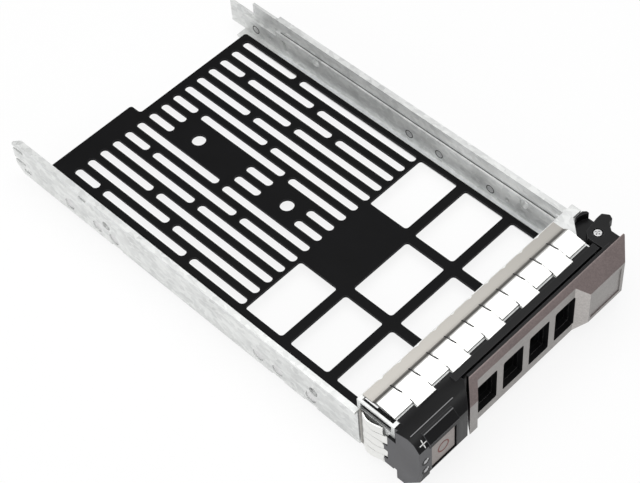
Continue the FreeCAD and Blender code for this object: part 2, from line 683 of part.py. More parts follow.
# The frame's corner is cut away for the hinge: its outline seen from above.
CORNER = (
    (RAIL_X + " + overrun", PIVOT_Y + " + corner_rear + sheet"),
    (HALF_BAY + " + sheet", PIVOT_Y + " + corner_rear"),
    (PIVOT_X, PIVOT_Y + " + corner_rear"),
    (PIVOT_X + " - corner_left", PIVOT_Y + " + corner_chamfer"),
    (PIVOT_X + " - corner_left", FRAME_FRONT + " - overrun"),
    (RAIL_X + " + overrun", FRAME_FRONT + " - overrun"),
)


def build_front_frame():
    floor = ANGLE_LOW
    roof = FRAME_TOP + " - sheet"
    shell = block("frame_shell", (minus(ANGLE_X), ANGLE_X), (FRAME_FRONT, FRAME_REAR), (floor, FRAME_TOP))
    ears = [
        block(side + "_frame_ear", sided(side, HALF_BAY, ANGLE_X), (FRAME_REAR, FRAME_REAR + " + frame_ear"),
              (floor, "frame_ear_height"))
        for side in ("left", "right")
    ]
    mouth = block("frame_mouth", (minus(HALF_BAY), HALF_BAY),
                  (FRAME_FRONT + " - overrun", FRAME_REAR + " + frame_ear + overrun"), (FLOOR, roof))
    corner = prism("frame_corner", "z", floor + " - overrun", FRAME_TOP + " + overrun", CORNER)
    slot = (minus(HALF_BAY), minus(HALF_BAY) + " + relief_slot")
    along = (FRAME_FRONT + " + relief_margin", FRAME_REAR + " - relief_margin")
    roof_slot = block("frame_relief_slot", slot, along, (roof + " - overrun", FRAME_TOP + " + overrun"))
    side_slot = block("frame_relief_window", (minus(ANGLE_X) + " - overrun", minus(HALF_BAY) + " + overrun"),
                      along, (roof + " - relief_depth", roof))
    holes = [
        rod("frame_rivet_hole_%d" % number, "z", centre, "plate_rivet_radius", floor + " - overrun",
            FLOOR + " + overrun")
        for number, centre in enumerate(PLATE_RIVETS)
    ]
    shell = fuse("frame_sheet", [shell] + ears)
    node(cut("front_frame", shell, [mouth, corner, roof_slot, side_slot] + holes), "front_frame")


def gasket_section(seat, up, crest):
    """A spring strip on a seat: flat at the rear, then a ramp up to a crest and a long slope to the front."""
    rear = FRAME_REAR + " - gasket_inset"
    bend = rear + " - gasket_flat"
    top = bend + " - gasket_rise"
    out = "%s %s " % (seat, up)
    return (
        (rear, seat), (rear, out + "gasket_sheet"), (bend, out + "gasket_sheet"),
        (top, out + "(%s + gasket_sheet)" % crest), (FRAME_FRONT, out + "gasket_sheet"), (FRAME_FRONT, seat),
        (top, out + crest), (bend, seat),
    )


def finger_cuts(name, depth):
    """Slits between the fingers, and the steps that make every other finger short."""
    slit_rear = FRAME_REAR + " - gasket_inset - gasket_flat - gasket_slit"
    tools = []
    for number in range(FINGERS):
        left = "%s + %s * %d" % (GASKET_LEFT, FINGER_PITCH, number)
        if number:
            slit = (left + " - gasket_slit / 2", left + " + gasket_slit / 2")
            tools.append(block("%s_slit_%d" % (name, number), slit, (FRAME_FRONT + " - overrun", slit_rear),
                               depth))
        if number % 2 == 0:
            tools.append(block("%s_step_%d" % (name, number), (left + " - gasket_slit / 2",
                               left + " + " + FINGER_PITCH + " + gasket_slit / 2"),
                               (FRAME_FRONT + " - overrun", FRAME_FRONT + " + finger_step"), depth))
    return tools


def build_top_gasket():
    blank = prism("top_gasket_blank", "x", GASKET_LEFT, GASKET_RIGHT,
                  gasket_section(FRAME_TOP, "+", "gasket_crest"))
    depth = (FRAME_TOP + " - overrun", FRAME_TOP + " + gasket_crest + overrun")
    node(cut("top_gasket", blank, finger_cuts("top_gasket", depth)), "top_gasket")


def build_bottom_gasket():
    blank = prism("bottom_gasket_blank", "x", GASKET_LEFT, GASKET_RIGHT,
                  gasket_section(ANGLE_LOW, "-", "gasket_crest"))
    depth = (ANGLE_LOW + " - gasket_crest - overrun", ANGLE_LOW + " + overrun")
    node(cut("bottom_gasket", blank, finger_cuts("bottom_gasket", depth)), "bottom_gasket")


# The left gasket and the bezel's teeth ahead of its short fingers.
SIDE_REAR = FRAME_REAR + " - relief_margin"
SIDE_FRONT = SIDE_REAR + " - left_gasket_length"
SIDE_LOW = ANGLE_LOW + " + gasket_inset"
SIDE_PITCH = "left_gasket_height / %d" % LEFT_FINGERS


def build_left_gasket():
    seat = minus(ANGLE_X)
    top = SIDE_REAR + " - left_gasket_crest"
    bend = SIDE_REAR + " - left_gasket_flat"
    out = seat + " - gasket_sheet"
    section = (
        (seat, SIDE_REAR), (out, SIDE_REAR), (out, bend), (out + " - left_gasket_bulge", top),
        (out, SIDE_FRONT), (seat, SIDE_FRONT), (seat + " - left_gasket_bulge", top), (seat, bend),
    )
    blank = prism("left_gasket_blank", "z", SIDE_LOW, SIDE_LOW + " + left_gasket_height", section)
    across = (seat + " - left_gasket_bulge - overrun", seat + " + overrun")
    tools = []
    for number in range(LEFT_FINGERS):
        low = "%s + %s * %d" % (SIDE_LOW, SIDE_PITCH, number)
        if number:
            tools.append(block("left_gasket_slit_%d" % number, across,
                               (SIDE_FRONT + " - overrun", bend + " - gasket_slit"),
                               (low + " - gasket_slit / 2", low + " + gasket_slit / 2")))
        if number % 2 == 0:
            tools.append(block("left_gasket_step_%d" % number, across,
                               (SIDE_FRONT + " - overrun", SIDE_FRONT + " + finger_step"),
                               (low + " - gasket_slit / 2", low + " + " + SIDE_PITCH + " + gasket_slit / 2")))
    node(cut("left_gasket", blank, tools), "left_gasket")


# Places of the button, its pocket and the latch behind it.
BUTTON_LEFT = BEZEL_LEFT + " + column_width + button_gap * 2"
BUTTON_RIGHT = BUTTON_LEFT + " + button_width"
BUTTON_TOP = FRAME_TOP + " - button_drop"
BUTTON_FACE = FACE_FRONT + " + button_sink"
BUTTON_REAR = BUTTON_FACE + " + button_body"
LATCH_FRONT = BUTTON_REAR + " + button_travel + button_stop"
LATCH_REAR = LATCH_FRONT + " + latch_depth"
LATCH_LEFT = BEZEL_LEFT + " + latch_left"
LATCH_NOSE = BLOCK_END + " + lever_end_gap - latch_nose_gap"
LATCH_TOP = "latch_low + latch_height"
WINDOW_LEFT = LATCH_LEFT + " + latch_stem"
POCKET_TOP = BUTTON_TOP + " + button_head_room"

# Places of the latch block's foot and of the two light pipes beside the button.
BLOCK_BOTTOM = ANGLE_LOW + " - bezel_foot"
FOOT = FRAME_FRONT + " - foot_step"
FOOT_FRONT = FOOT + " - foot_length"
PIPES = [(BEZEL_LEFT + " + pipe_left", "pipe_low + pipe_pitch * %d" % number) for number in range(2)]


def build_latch_block():
    """The left end of the bezel with the hood over its button and the cheek beside the frame."""
    blank = prism("latch_block", "x", BEZEL_LEFT, BLOCK_END, (
        (FRAME_FRONT, "0"), (FRAME_FRONT, FRAME_TOP), (FACE_FRONT + " + crest_setback", CREST),
        (FACE_FRONT + " + brow_setback", CREST + " - brow_drop"), (FACE_FRONT, CREST + " - front_top_drop"),
        (FACE_FRONT, "front_bottom"), (FOOT_FRONT, BLOCK_BOTTOM), (FOOT, BLOCK_BOTTOM), (FOOT, "0")))
    slant_start = LEVER_REAR + " - lever_thickness / 2"
    slant = prism("latch_block_slant", "z", BLOCK_BOTTOM + " - overrun", CREST + " + overrun", (
        (BLOCK_END, slant_start), (BLOCK_END + " - block_slant", FACE_FRONT),
        (BLOCK_END + " - block_slant", FACE_FRONT + " - overrun"),
        (BLOCK_END + " + overrun", FACE_FRONT + " - overrun"), (BLOCK_END + " + overrun", slant_start)))
    chin_top = "button_low - button_gap - button_lip"
    chin = prism("button_chin", "x", BUTTON_LEFT + " - button_gap - hood_rim", BLOCK_END + " + overrun", (
        (FACE_FRONT + " - overrun", chin_top), (FACE_FRONT, chin_top), (FOOT_FRONT, BLOCK_BOTTOM),
        (FACE_FRONT + " - overrun", BLOCK_BOTTOM)))
    cheek_level = FRAME_TOP + " - cheek_top"
    notch = block("cheek_notch", (BEZEL_LEFT + " - overrun", minus(ANGLE_X)),
                  (FOOT, FRAME_FRONT + " + overrun"), (cheek_level, CREST + " + overrun"))
    brow = FACE_FRONT + " + brow_setback"
    hood_front = FACE_FRONT + " - hood_reach"
    hood_top = CREST + " - brow_drop"
    hood = prism("button_hood", "x", BUTTON_LEFT + " - button_gap - hood_rim",
                 BUTTON_RIGHT + " + button_gap + hood_rim", (
        (brow + " + hood_rim", hood_top + " - hood_rim"), (brow + " + hood_rim", hood_top + " + hood_rise"),
        (brow, hood_top + " + hood_rise"), (hood_front, CREST + " - front_top_drop + hood_rise"),
        (hood_front, POCKET_TOP), (FACE_FRONT + " + hood_rim", POCKET_TOP)))
    cheek_rear = FRAME_FRONT + " + cheek_reach"
    cheek = block("bezel_cheek", (BEZEL_LEFT, minus(ANGLE_X)), (FOOT, cheek_rear),
                  ("-cheek_low", cheek_level))
    teeth = []
    for number in range(0, LEFT_FINGERS - 1, 2):
        low = "%s + %s * %d" % (SIDE_LOW, SIDE_PITCH, number)
        levels = (low + " + gasket_slit", low + " + " + SIDE_PITCH + " - gasket_slit")
        teeth.append(block("cheek_tooth_%d" % number, (BEZEL_LEFT, minus(ANGLE_X)),
                           (FRAME_FRONT, SIDE_FRONT + " + finger_step - cheek_gap"), levels))
    return fuse("latch_end", [cut("latch_block_body", blank, [slant, chin, notch]), hood, cheek] + teeth)


def build_hinge_housing():
    """The bezel's right end: the lug that the handle turns on, in the frame's cut corner."""
    ring_end = PIVOT_X + " - lug_radius - button_gap"
    start = PIVOT_X + " - lug_radius - bezel_wall"
    tab = FRAME_FRONT + " - bezel_wall / 2"
    rear = PIVOT_Y + " + corner_rear - housing_gap"
    side = PIVOT_X + " - corner_left + housing_gap"
    bevel = PIVOT_Y + " + corner_chamfer - housing_gap / 2"
    outer = RAIL_X + " + bezel_overhang"
    plan = (
        (start, WALL_FRONT), (ring_end, WALL_FRONT), (PIVOT_X, PIVOT_Y), (outer, PIVOT_Y),
        (outer, rear + " - pocket_corner"), (outer + " - pocket_corner", rear),
        (PIVOT_X + " + housing_gap / 2", rear),
        (side, bevel), (side, tab), (start, tab),
    )
    housing = prism("hinge_housing", "z", LUG_LOW, LUG_TOP, plan)
    rim_top = FRAME_TOP + " - pocket_rim_gap"
    rim_start = PIVOT_Y + " + lug_radius"
    rim_blank = prism("pocket_rim_blank", "z", LUG_TOP + " - housing_gap", rim_top, (
        (PIVOT_X + " + housing_gap", rim_start), (outer, rim_start), (outer, rear + " - pocket_corner"),
        (outer + " - pocket_corner", rear), (PIVOT_X + " + housing_gap", rear)))
    inside = rod("pocket_rim_inside", "z", (PIVOT_X, PIVOT_Y), "pocket_rim_radius", LUG_TOP,
                 rim_top + " + overrun")
    rim = cut("pocket_rim", rim_blank, [inside])
    lug = rod("hinge_lug", "z", (PIVOT_X, PIVOT_Y), "lug_radius", LUG_LOW, LUG_TOP)
    return fuse("hinge_end", [fuse("hinge_block", [housing, lug]), rim])


def build_bezel():
    ring = block("bezel_wall", (BLOCK_END + " - lever_end_gap", PIVOT_X + " - lug_radius - button_gap"),
                 (WALL_FRONT, FRAME_FRONT), (BLOCK_BOTTOM, BEZEL_TOP))
    tongues = [
        block("spigot_" + side, (minus(HALF_BAY) + " + gasket_inset", GASKET_RIGHT),
              (FRAME_FRONT + " - bezel_wall / 2", FRAME_FRONT + " + spigot_depth"), levels)
        for side, levels in (("low", (FLOOR, FLOOR + " + spigot_wall")),
                             ("high", (FRAME_TOP + " - sheet - spigot_wall", FRAME_TOP + " - sheet")))
    ]
    teeth = []
    for number in range(0, FINGERS, 2):
        start = "%s + %s * %d" % (GASKET_LEFT, FINGER_PITCH, number)
        teeth.append(block("bezel_tooth_%d" % number,
                           (start + " + gasket_slit", start + " + " + FINGER_PITCH + " - gasket_slit"),
                           (FRAME_FRONT + " - bezel_wall / 2", FRAME_FRONT + " + finger_step - gasket_slit"),
                           (FRAME_TOP, FRAME_TOP + " + gasket_sheet")))
    tongues.append(block("spigot_side", (minus(HALF_BAY), minus(HALF_BAY) + " + spigot_wall"),
                         (FRAME_FRONT + " - bezel_wall / 2", FRAME_REAR + " - relief_margin"),
                         (FLOOR, FRAME_TOP + " - sheet")))
    solid = fuse("bezel_solid", [build_latch_block(), ring, build_hinge_housing()] + tongues + teeth)

    vent = block("air_opening", (VENT_LEFT, VENT_RIGHT),
                 (WALL_FRONT + " - overrun", FRAME_FRONT + " + spigot_depth + overrun"),
                 ("vent_bottom", VENT_TOP))
    pocket = block("button_pocket", (BUTTON_LEFT + " - button_gap", BUTTON_RIGHT + " + button_gap"),
                   (FACE_FRONT + " - overrun", LATCH_FRONT + " - latch_fit"),
                   ("button_low - button_gap", POCKET_TOP))
    channel = block("latch_channel", (LATCH_LEFT + " - latch_spring_length", BLOCK_END + " + lever_end_gap"),
                    (LATCH_FRONT + " - latch_fit", LATCH_REAR + " + latch_fit"),
                    ("latch_low - latch_fit", LATCH_TOP + " + latch_fit"))
    pipes = [
        rod("pipe_hole_%d" % number, "y", centre, "pipe_radius + pipe_fit", FACE_FRONT + " - overrun",
            FRAME_FRONT + " + overrun")
        for number, centre in enumerate(PIPES)
    ]
    bore = rod("lug_bore", "z", (PIVOT_X, PIVOT_Y), "pin_radius + pin_fit", LUG_LOW + " - overrun",
               LUG_TOP + " + overrun")
    well_low = LUG_TOP + " - spring_turn * (spring_turns + 1)"
    well = rod("spring_well", "z", (PIVOT_X, PIVOT_Y), "spring_radius + spring_wire + spring_well_gap",
               well_low, LUG_TOP + " + overrun")
    leg_x = PIVOT_X + " - spring_radius"
    leg_slot = block("spring_leg_slot",
                     (leg_x + " - spring_wire - spring_leg_gap", leg_x + " + spring_wire + spring_leg_gap"),
                     (WALL_FRONT + " - overrun", PIVOT_Y + " + spring_wire"),
                     (LUG_TOP + " - spring_leg_room", LUG_TOP + " + overrun"))
    node(cut("bezel_body", solid, [vent, pocket, channel, bore, well, leg_slot] + pipes), "bezel_body")


def build_grille():
    left, right = VENT_LEFT + " - grille_margin", VENT_RIGHT + " + grille_margin"
    low, high = FLOOR + " + spigot_wall", FRAME_TOP + " - sheet - spigot_wall"
    blank = block("grille_blank", (left, right), (FRAME_FRONT, FRAME_FRONT + " + grille_gauge"), (low, high))
    column_pitch = "((%s) - (%s)) / %d" % (VENT_RIGHT, VENT_LEFT, GRILLE_COLUMNS)
    row_pitch = "((%s) - vent_bottom) / %d" % (VENT_TOP, GRILLE_ROWS)
    corner_radius = "min((%s - grille_web) / sqrt(3); (%s - grille_web) / 2)" % (row_pitch, column_pitch)
    holes = []
    for line in range(GRILLE_ROWS):
        shift = (line % 2) / 2 + 1 / 4
        for column in range(GRILLE_COLUMNS):
            hole = doc.addObject("Part::Prism", "grille_hole_%d_%d" % (line, column))
            hole.Polygon = HEX_SIDES
            hole.Placement.Rotation = TURNS["y"]
            bind(hole, Circumradius=corner_radius, Height="grille_gauge + overrun * 2")
            place(hole, "%s + %s * %s" % (VENT_LEFT, column_pitch, column + shift),
                  FRAME_FRONT + " - overrun", "vent_bottom + %s * %s" % (row_pitch, line + 1 / 2))
            holes.append(hole)
    node(cut("air_grille", blank, holes), "air_grille")


def build_light_pipes():
    for name, centre in zip(("activity_light_pipe", "status_light_pipe"), PIPES):
        node(rod(name, "y", centre, "pipe_radius", FACE_FRONT, FRAME_FRONT), name)


def build_button():
    body = block("button_block", (BUTTON_LEFT, BUTTON_RIGHT), (BUTTON_FACE, BUTTON_REAR),
                 ("button_low", BUTTON_TOP))
    tip = LATCH_FRONT + " + tail_entry"
    tip_left = WINDOW_LEFT + " + wedge_gap + wedge_ratio * tail_entry"
    start_left = "%s - wedge_ratio * (%s - (%s))" % (tip_left, tip, BUTTON_REAR)
    tip_right = tip_left + " + tail_width"
    low, high = "latch_low + latch_bar + latch_fit", LATCH_TOP + " - latch_bar - latch_fit"
    tail = prism("button_tail", "z", low, high, (
        (start_left, BUTTON_REAR), (tip_right, BUTTON_REAR), (tip_right, tip), (tip_left, tip)))
    node(fuse("release_button", [body, tail]), "release_button")


def build_latch():
    levels = ("latch_low", LATCH_TOP)
    bar = block("latch_bar_blank", (LATCH_LEFT, LATCH_NOSE), (LATCH_FRONT, LATCH_REAR), levels)
    rear_left = WINDOW_LEFT + " + wedge_ratio * latch_depth"
    right = WINDOW_LEFT + " + latch_window_play + tail_width + wedge_ratio * (tail_entry + button_travel)"
    front, rear = LATCH_FRONT + " - overrun", LATCH_REAR + " + overrun"
    window = prism("latch_window", "z", "latch_low + latch_bar", LATCH_TOP + " - latch_bar", (
        (WINDOW_LEFT + " - wedge_ratio * overrun", front), (right, front), (right, rear),
        (rear_left + " + wedge_ratio * overrun", rear)))
    node(cut("latch_slider", bar, [window]), "latch_slider")


def coil(name, axis, start, radius, wire, turn, turns, centre_angle):
    """A round wire wound along an axis."""
    spine = doc.addObject("Part::Helix", name + "_line")
    bind(spine, Radius=radius, Pitch=turn, Height="(%s) * (%s)" % (turn, turns))
    ring = doc.addObject("Part::Circle", name + "_wire")
    bind(ring, Radius=wire)
    ring.Placement.Rotation = FreeCAD.Rotation(FreeCAD.Vector(1, 0, 0), 90)
    ring.setExpression("Placement.Base.x", cells(radius))
    sweep = doc.addObject("Part::Sweep", name)
    sweep.Sections = [ring]
    sweep.Spine = (spine, [])
    sweep.Solid = True
    sweep.Frenet = True
    sweep.Placement.Rotation = TURNS[axis] * FreeCAD.Rotation(FreeCAD.Vector(0, 0, 1), centre_angle)
    place(sweep, *start)
    return sweep


def build_latch_spring():
    low = LATCH_LEFT + " - latch_spring_length"
    wound = "latch_spring_length - latch_spring_wire * 2"
    middle_y = "(%s + %s) / 2" % (LATCH_FRONT, LATCH_REAR)
    start = (low + " + latch_spring_wire", middle_y, "latch_low + latch_height / 2")
    spring = coil("latch_spring", "x", start, "latch_spring_radius", "latch_spring_wire",
                  "(%s) / latch_spring_turns" % wound, "latch_spring_turns", 0)
    node(spring, "latch_spring")


def build_handle_spring():
    start = LUG_TOP + " - spring_turn * (spring_turns + 1 / 2)"
    wound = coil("handle_spring_coil", "z", (PIVOT_X, PIVOT_Y, start), "spring_radius", "spring_wire",
                 "spring_turn", "spring_turns", 180)
    leg_place = (PIVOT_X + " - spring_radius", start + " + spring_turn * spring_turns")
    leg = rod("handle_spring_leg", "y", leg_place, "spring_wire", LEVER_REAR + " + arm_fit", PIVOT_Y)
    node(fuse("handle_spring", [wound, leg]), "handle_spring")


# Places along the handle.
FACE_LEFT = BLOCK_END + " + face_end_gap"
FACE_FRONT_LEFT = FACE_LEFT + " - block_slant"
SUNK_LEFT = FACE_FRONT_LEFT + " + left_foot + foot_ramp"
RAISED_RIGHT = PIVOT_X + " - right_face + face_right"
SUNK_RIGHT = RAISED_RIGHT + " - right_ramp"
FACE_RIGHT = PIVOT_X + " + face_right"
SUNK_FACE = LEVER_FRONT + " - face_web"


def pane_cuts(name):
    """The row of windows through the handle."""
    start = SUNK_LEFT + " - pane_reach"
    pitch = "((%s) + pane_reach - (%s)) / %d" % (SUNK_RIGHT, start, PANES)
    tools = []
    for number in range(PANES):
        left = "%s + %s * %d + pane_bar / 2" % (start, pitch, number)
        tools += rounded_block("%s_%d" % (name, number), "y", (left, "%s + %s - pane_bar" % (left, pitch)),
                               ("pane_low", FRAME_TOP + " - pane_drop"), "pane_corner",
                               (FACE_FRONT + " - overrun", LEVER_REAR + " + overrun"))
    return tools


def build_handle_face():
    rim = LEVER_FRONT + " - face_rim"
    chin = "face_low - chin_drop"
    edge = FACE_TOP + " - face_bevel_drop"
    bar = prism("face_bar", "x", FACE_FRONT_LEFT + " - overrun", FACE_RIGHT + " + overrun", (
        (LEVER_FRONT, chin), (LEVER_FRONT, FACE_TOP), (rim, FACE_TOP), (FACE_FRONT, edge),
        (FACE_FRONT, "face_low")))
    plan = prism("face_plan", "z", chin + " - overrun", FACE_TOP + " + overrun", (
        (FACE_LEFT, LEVER_FRONT), (FACE_FRONT_LEFT, FACE_FRONT),
        (FACE_FRONT_LEFT + " + left_foot", FACE_FRONT),
        (SUNK_LEFT, SUNK_FACE), (SUNK_RIGHT, SUNK_FACE), (RAISED_RIGHT, FACE_FRONT),
        (FACE_RIGHT + " - face_corner", FACE_FRONT), (FACE_RIGHT, rim), (FACE_RIGHT, LEVER_FRONT)))
    right = FACE_RIGHT + " - face_corner - panel_margin"
    panel = block("face_panel", (right + " - panel_width", right),
                  (FACE_FRONT + " - overrun", FACE_FRONT + " + panel_depth"),
                  ("face_low + panel_margin", edge + " - panel_margin"))
    node(cut("handle_face", common("face_form", bar, plan), pane_cuts("face_pane") + [panel]), "handle_face")


def build_lever():
    """The plate behind the handle's face, with a hooked arm above the hinge lug and a plain arm below it."""
    plate = block("lever_plate", (BLOCK_END + " + lever_end_gap", PIVOT_X + " - lever_right"),
                  (LEVER_FRONT, LEVER_REAR), ("0", FRAME_TOP + " + lever_rise"))
    left, right = PIVOT_X + " - ", PIVOT_X + " + "
    behind, ahead = PIVOT_Y + " + ", PIVOT_Y + " - "
    hook = prism("upper_arm_plan", "z", ARM_LOW, ARM_TOP, (
        (left + "arm_left", LEVER_FRONT),
        (left + "arm_left", behind + "arm_shoulder"),
        (left + "arm_neck", behind + "arm_rear"),
        (right + "hook_root", behind + "hook_rear"),
        (right + "hook_shoulder", behind + "hook_rear"),
        (right + "hook_reach", behind + "hook_beak"),
        (right + "hook_tip", PIVOT_Y),
        (right + "hook_mouth", PIVOT_Y),
        (right + "arm_right", ahead + "arm_throat"),
        (right + "arm_right", LEVER_FRONT)))
    soften(hook, "upper_arm_corners", "hook_round", upright)
    lower_levels = ("-lower_arm_drop", LOWER_ARM_TOP)
    lower = block("lower_arm_web", (left + "lower_arm_side", right + "lower_arm_side"),
                  (LEVER_FRONT, PIVOT_Y), lower_levels)
    boss = rod("lower_arm_boss", "z", (PIVOT_X, PIVOT_Y), "lower_boss", *lower_levels)
    solid = fuse("lever_solid", [plate, hook, lower, boss])
    hole = rod("lever_pin_hole", "z", (PIVOT_X, PIVOT_Y), "pin_radius", "-lower_arm_drop - overrun",
               ARM_TOP + " + overrun")
    seat = rod("lever_screw_seat", "z", (PIVOT_X, PIVOT_Y), "screw_head + screw_seat_gap",
               ARM_TOP + " - screw_head_height", ARM_TOP + " + overrun")
    node(cut("handle_lever", solid, pane_cuts("lever_pane") + [hole, seat]), "handle_lever")


def build_pivot_screw():
    centre = (PIVOT_X, PIVOT_Y)
    shank = rod("screw_shank", "z", centre, "pin_radius", "-lower_arm_drop", ARM_TOP + " - screw_head_height")
    head = rod("screw_head_disc", "z", centre, "screw_head", ARM_TOP + " - screw_head_height", ARM_TOP)
    depth = (ARM_TOP + " - screw_slot_depth", ARM_TOP + " + overrun")
    wide, thin = [
        [(middle + " - %s / 2" % size, middle + " + %s / 2" % size) for middle in centre]
        for size in ("screw_slot_length", "screw_slot_width")
    ]
    slots = [
        block("screw_slot_across", wide[0], thin[1], depth),
        block("screw_slot_along", thin[0], wide[1], depth),
    ]
    node(cut("pivot_screw", fuse("screw_blank", [shank, head]), slots), "pivot_screw")


build_base_plate()
for side in ("left", "right"):
    build_angle(side)
    build_rail(side)
    build_rail_rivets(side)
build_plate_rivets()
build_front_frame()
build_top_gasket()
build_bottom_gasket()
build_left_gasket()
build_bezel()
build_grille()
build_light_pipes()
build_button()
build_latch()
build_latch_spring()
build_handle_face()
build_lever()
build_handle_spring()
build_pivot_screw()
doc.recompute()

for item in doc.Objects:
    if {"Invalid", "Error"} & set(item.State):
        raise RuntimeError("%s did not rebuild" % item.Name)
os.makedirs("parts", exist_ok=True)
for item in NODES:
    shape = item.Shape
    if shape.isNull() or not shape.isValid():
        raise RuntimeError("%s has no sound shape" % item.Label)
for item in NODES:
    item.Shape.exportStep("parts/%s.step" % item.Label)
    print("%-22s %d solids %10.2f mm3" % (item.Label, len(item.Shape.Solids), item.Shape.Volume))
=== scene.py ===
"""Finishes, small details and studio of the hot swap drive caddy.

X runs across the bay towards the hinge, Y towards the rear and Z up.  Sizes in the settings are in metres.
"""
import json
import math

import bmesh
import bpy
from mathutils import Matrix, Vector, noise

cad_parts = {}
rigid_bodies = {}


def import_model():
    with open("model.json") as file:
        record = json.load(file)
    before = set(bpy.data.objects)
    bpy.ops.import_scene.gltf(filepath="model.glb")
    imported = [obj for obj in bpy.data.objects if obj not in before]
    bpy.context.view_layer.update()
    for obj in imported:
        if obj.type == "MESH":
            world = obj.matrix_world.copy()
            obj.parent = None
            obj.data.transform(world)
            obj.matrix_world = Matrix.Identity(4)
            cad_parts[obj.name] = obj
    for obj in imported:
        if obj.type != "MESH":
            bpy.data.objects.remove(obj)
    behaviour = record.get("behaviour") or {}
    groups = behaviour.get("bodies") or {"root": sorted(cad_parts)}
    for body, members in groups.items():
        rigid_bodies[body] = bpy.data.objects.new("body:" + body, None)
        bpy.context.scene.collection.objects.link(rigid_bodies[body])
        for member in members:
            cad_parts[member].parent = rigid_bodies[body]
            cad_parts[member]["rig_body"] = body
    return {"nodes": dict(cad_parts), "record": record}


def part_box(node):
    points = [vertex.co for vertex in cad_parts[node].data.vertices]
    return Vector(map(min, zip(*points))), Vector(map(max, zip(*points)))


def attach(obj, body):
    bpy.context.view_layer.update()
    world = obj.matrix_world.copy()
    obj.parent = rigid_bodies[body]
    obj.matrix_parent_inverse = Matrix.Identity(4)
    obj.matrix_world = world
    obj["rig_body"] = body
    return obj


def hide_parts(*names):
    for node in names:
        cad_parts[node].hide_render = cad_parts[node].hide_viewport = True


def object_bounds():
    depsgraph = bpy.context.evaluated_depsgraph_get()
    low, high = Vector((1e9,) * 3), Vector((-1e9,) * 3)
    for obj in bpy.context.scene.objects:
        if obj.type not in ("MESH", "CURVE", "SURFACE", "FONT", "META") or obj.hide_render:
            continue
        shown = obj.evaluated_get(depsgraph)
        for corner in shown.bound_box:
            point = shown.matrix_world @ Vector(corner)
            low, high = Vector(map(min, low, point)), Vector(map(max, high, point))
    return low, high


bl_info = {
    "name": "Drive Caddy Finish",
    "version": (1, 0, 0),
    "blender": (4, 5, 0),
    "location": "View3D > Sidebar > Drive Caddy",
    "description": "Gives the framed drive caddy its finishes, rounded edges, spring fingers and studio",
    "category": "Object",
}

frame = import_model()
CAD_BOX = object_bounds()
MM = 0.001

ACROSS = Vector((1, 0, 0))
REARWARD = Vector((0, 1, 0))
FORWARD = Vector((0, -1, 0))
UPWARD = Vector((0, 0, 1))
# Which way the bezel's slope climbs, and which way the hood over the button faces.
SLOPE_RUN = Vector((0, 2.4, 2.8)).normalized()
HOOD_FACING = Vector((0, -0.76, 0.65))

# A face counts as part of the handle's top bevel when its normal leans up at least this much.
BEVEL_LEAN = 0.3
# The rounding between the handle's front and its bevel leans up between these.
SEAM_LEAN = (0.1, 0.5)
# A face counts as square to an axis when its normal runs along it at least this much.
SQUARE_ON = 0.95
# Points closer than this are one point.
WELD = 1e-6
# Faces that turn less than this, in degrees, are one flat face.
FLAT_TURN = 0.5
# Edges that turn more than this, in degrees, are sharp: on solids and on bent sheet.
SHARP_TURN = 40.0
SHEET_SHARP_TURN = 50.0
# Wire keeps its own round section.
UNROUNDED = 0.0


# ---------------------------------------------------------------- settings


def colour_setting(name, text, default):
    return bpy.props.FloatVectorProperty(
        name=name, description=text, default=default, size=3, min=0, max=1, subtype="COLOR")


def length_setting(name, text, default):
    return bpy.props.FloatProperty(
        name=name, description=text, default=default, min=0, unit="LENGTH", precision=5)


def power_setting(name, text, default):
    return bpy.props.FloatProperty(name=name, description=text, default=default, min=0)


class CaddyColours(bpy.types.PropertyGroup):
    """Colours of the caddy's finishes."""

    zinc_light: colour_setting("Zinc light", "Bright spangle of the galvanised sheet", (0.79, 0.80, 0.79))
    zinc_dark: colour_setting("Zinc dark", "Dull spangle of the galvanised sheet", (0.56, 0.57, 0.565))
    tray: colour_setting("Tray", "Powder coat of the tray", (0.003, 0.003, 0.0035))
    spring: colour_setting("Spring steel", "Bright stainless of the gaskets", (0.84, 0.84, 0.82))
    # The gaskets' rear strip is painted darker than their fingers, and darker copies of it paint shade on the
    # ramp.
    spring_strip: colour_setting("Spring strip", "Duller clamped strip of the gaskets", (0.37, 0.355, 0.33))
    bezel: colour_setting("Bezel", "Black plastic of the bezel, latch and lever", (0.0045, 0.0045, 0.005))
    button: colour_setting("Button", "Warm grey lacquer of the button", (0.27, 0.24, 0.225))
    ring: colour_setting("Button ring", "Thin ring on the button", (0.20, 0.06, 0.05))
    # Bezel end: a lighter copy of the bezel's black for the indicator column's faces that look left or
    # forward, a painted sheen.
    bezel_painted_sheen: colour_setting("Bezel end", "Smooth lit faces of the bezel", (0.085, 0.085, 0.09))
    # Bezel edge: painted highlight along the bezel's crest and the hood's two edges.
    bezel_edge_highlight: colour_setting("Bezel edge", "Polished edges of the bezel", (0.26, 0.26, 0.265))
    face: colour_setting("Handle face", "Front of the handle", (0.29, 0.275, 0.265))
    # Handle bevel: the sloping top is a darker, warmer copy of the front's lacquer, painted shade on the
    # faces that look up.
    face_bevel: colour_setting("Handle bevel", "Sloping top of the handle", (0.21, 0.17, 0.165))
    mark: colour_setting("Plus mark", "White of the moulded plus", (0.85, 0.85, 0.84))


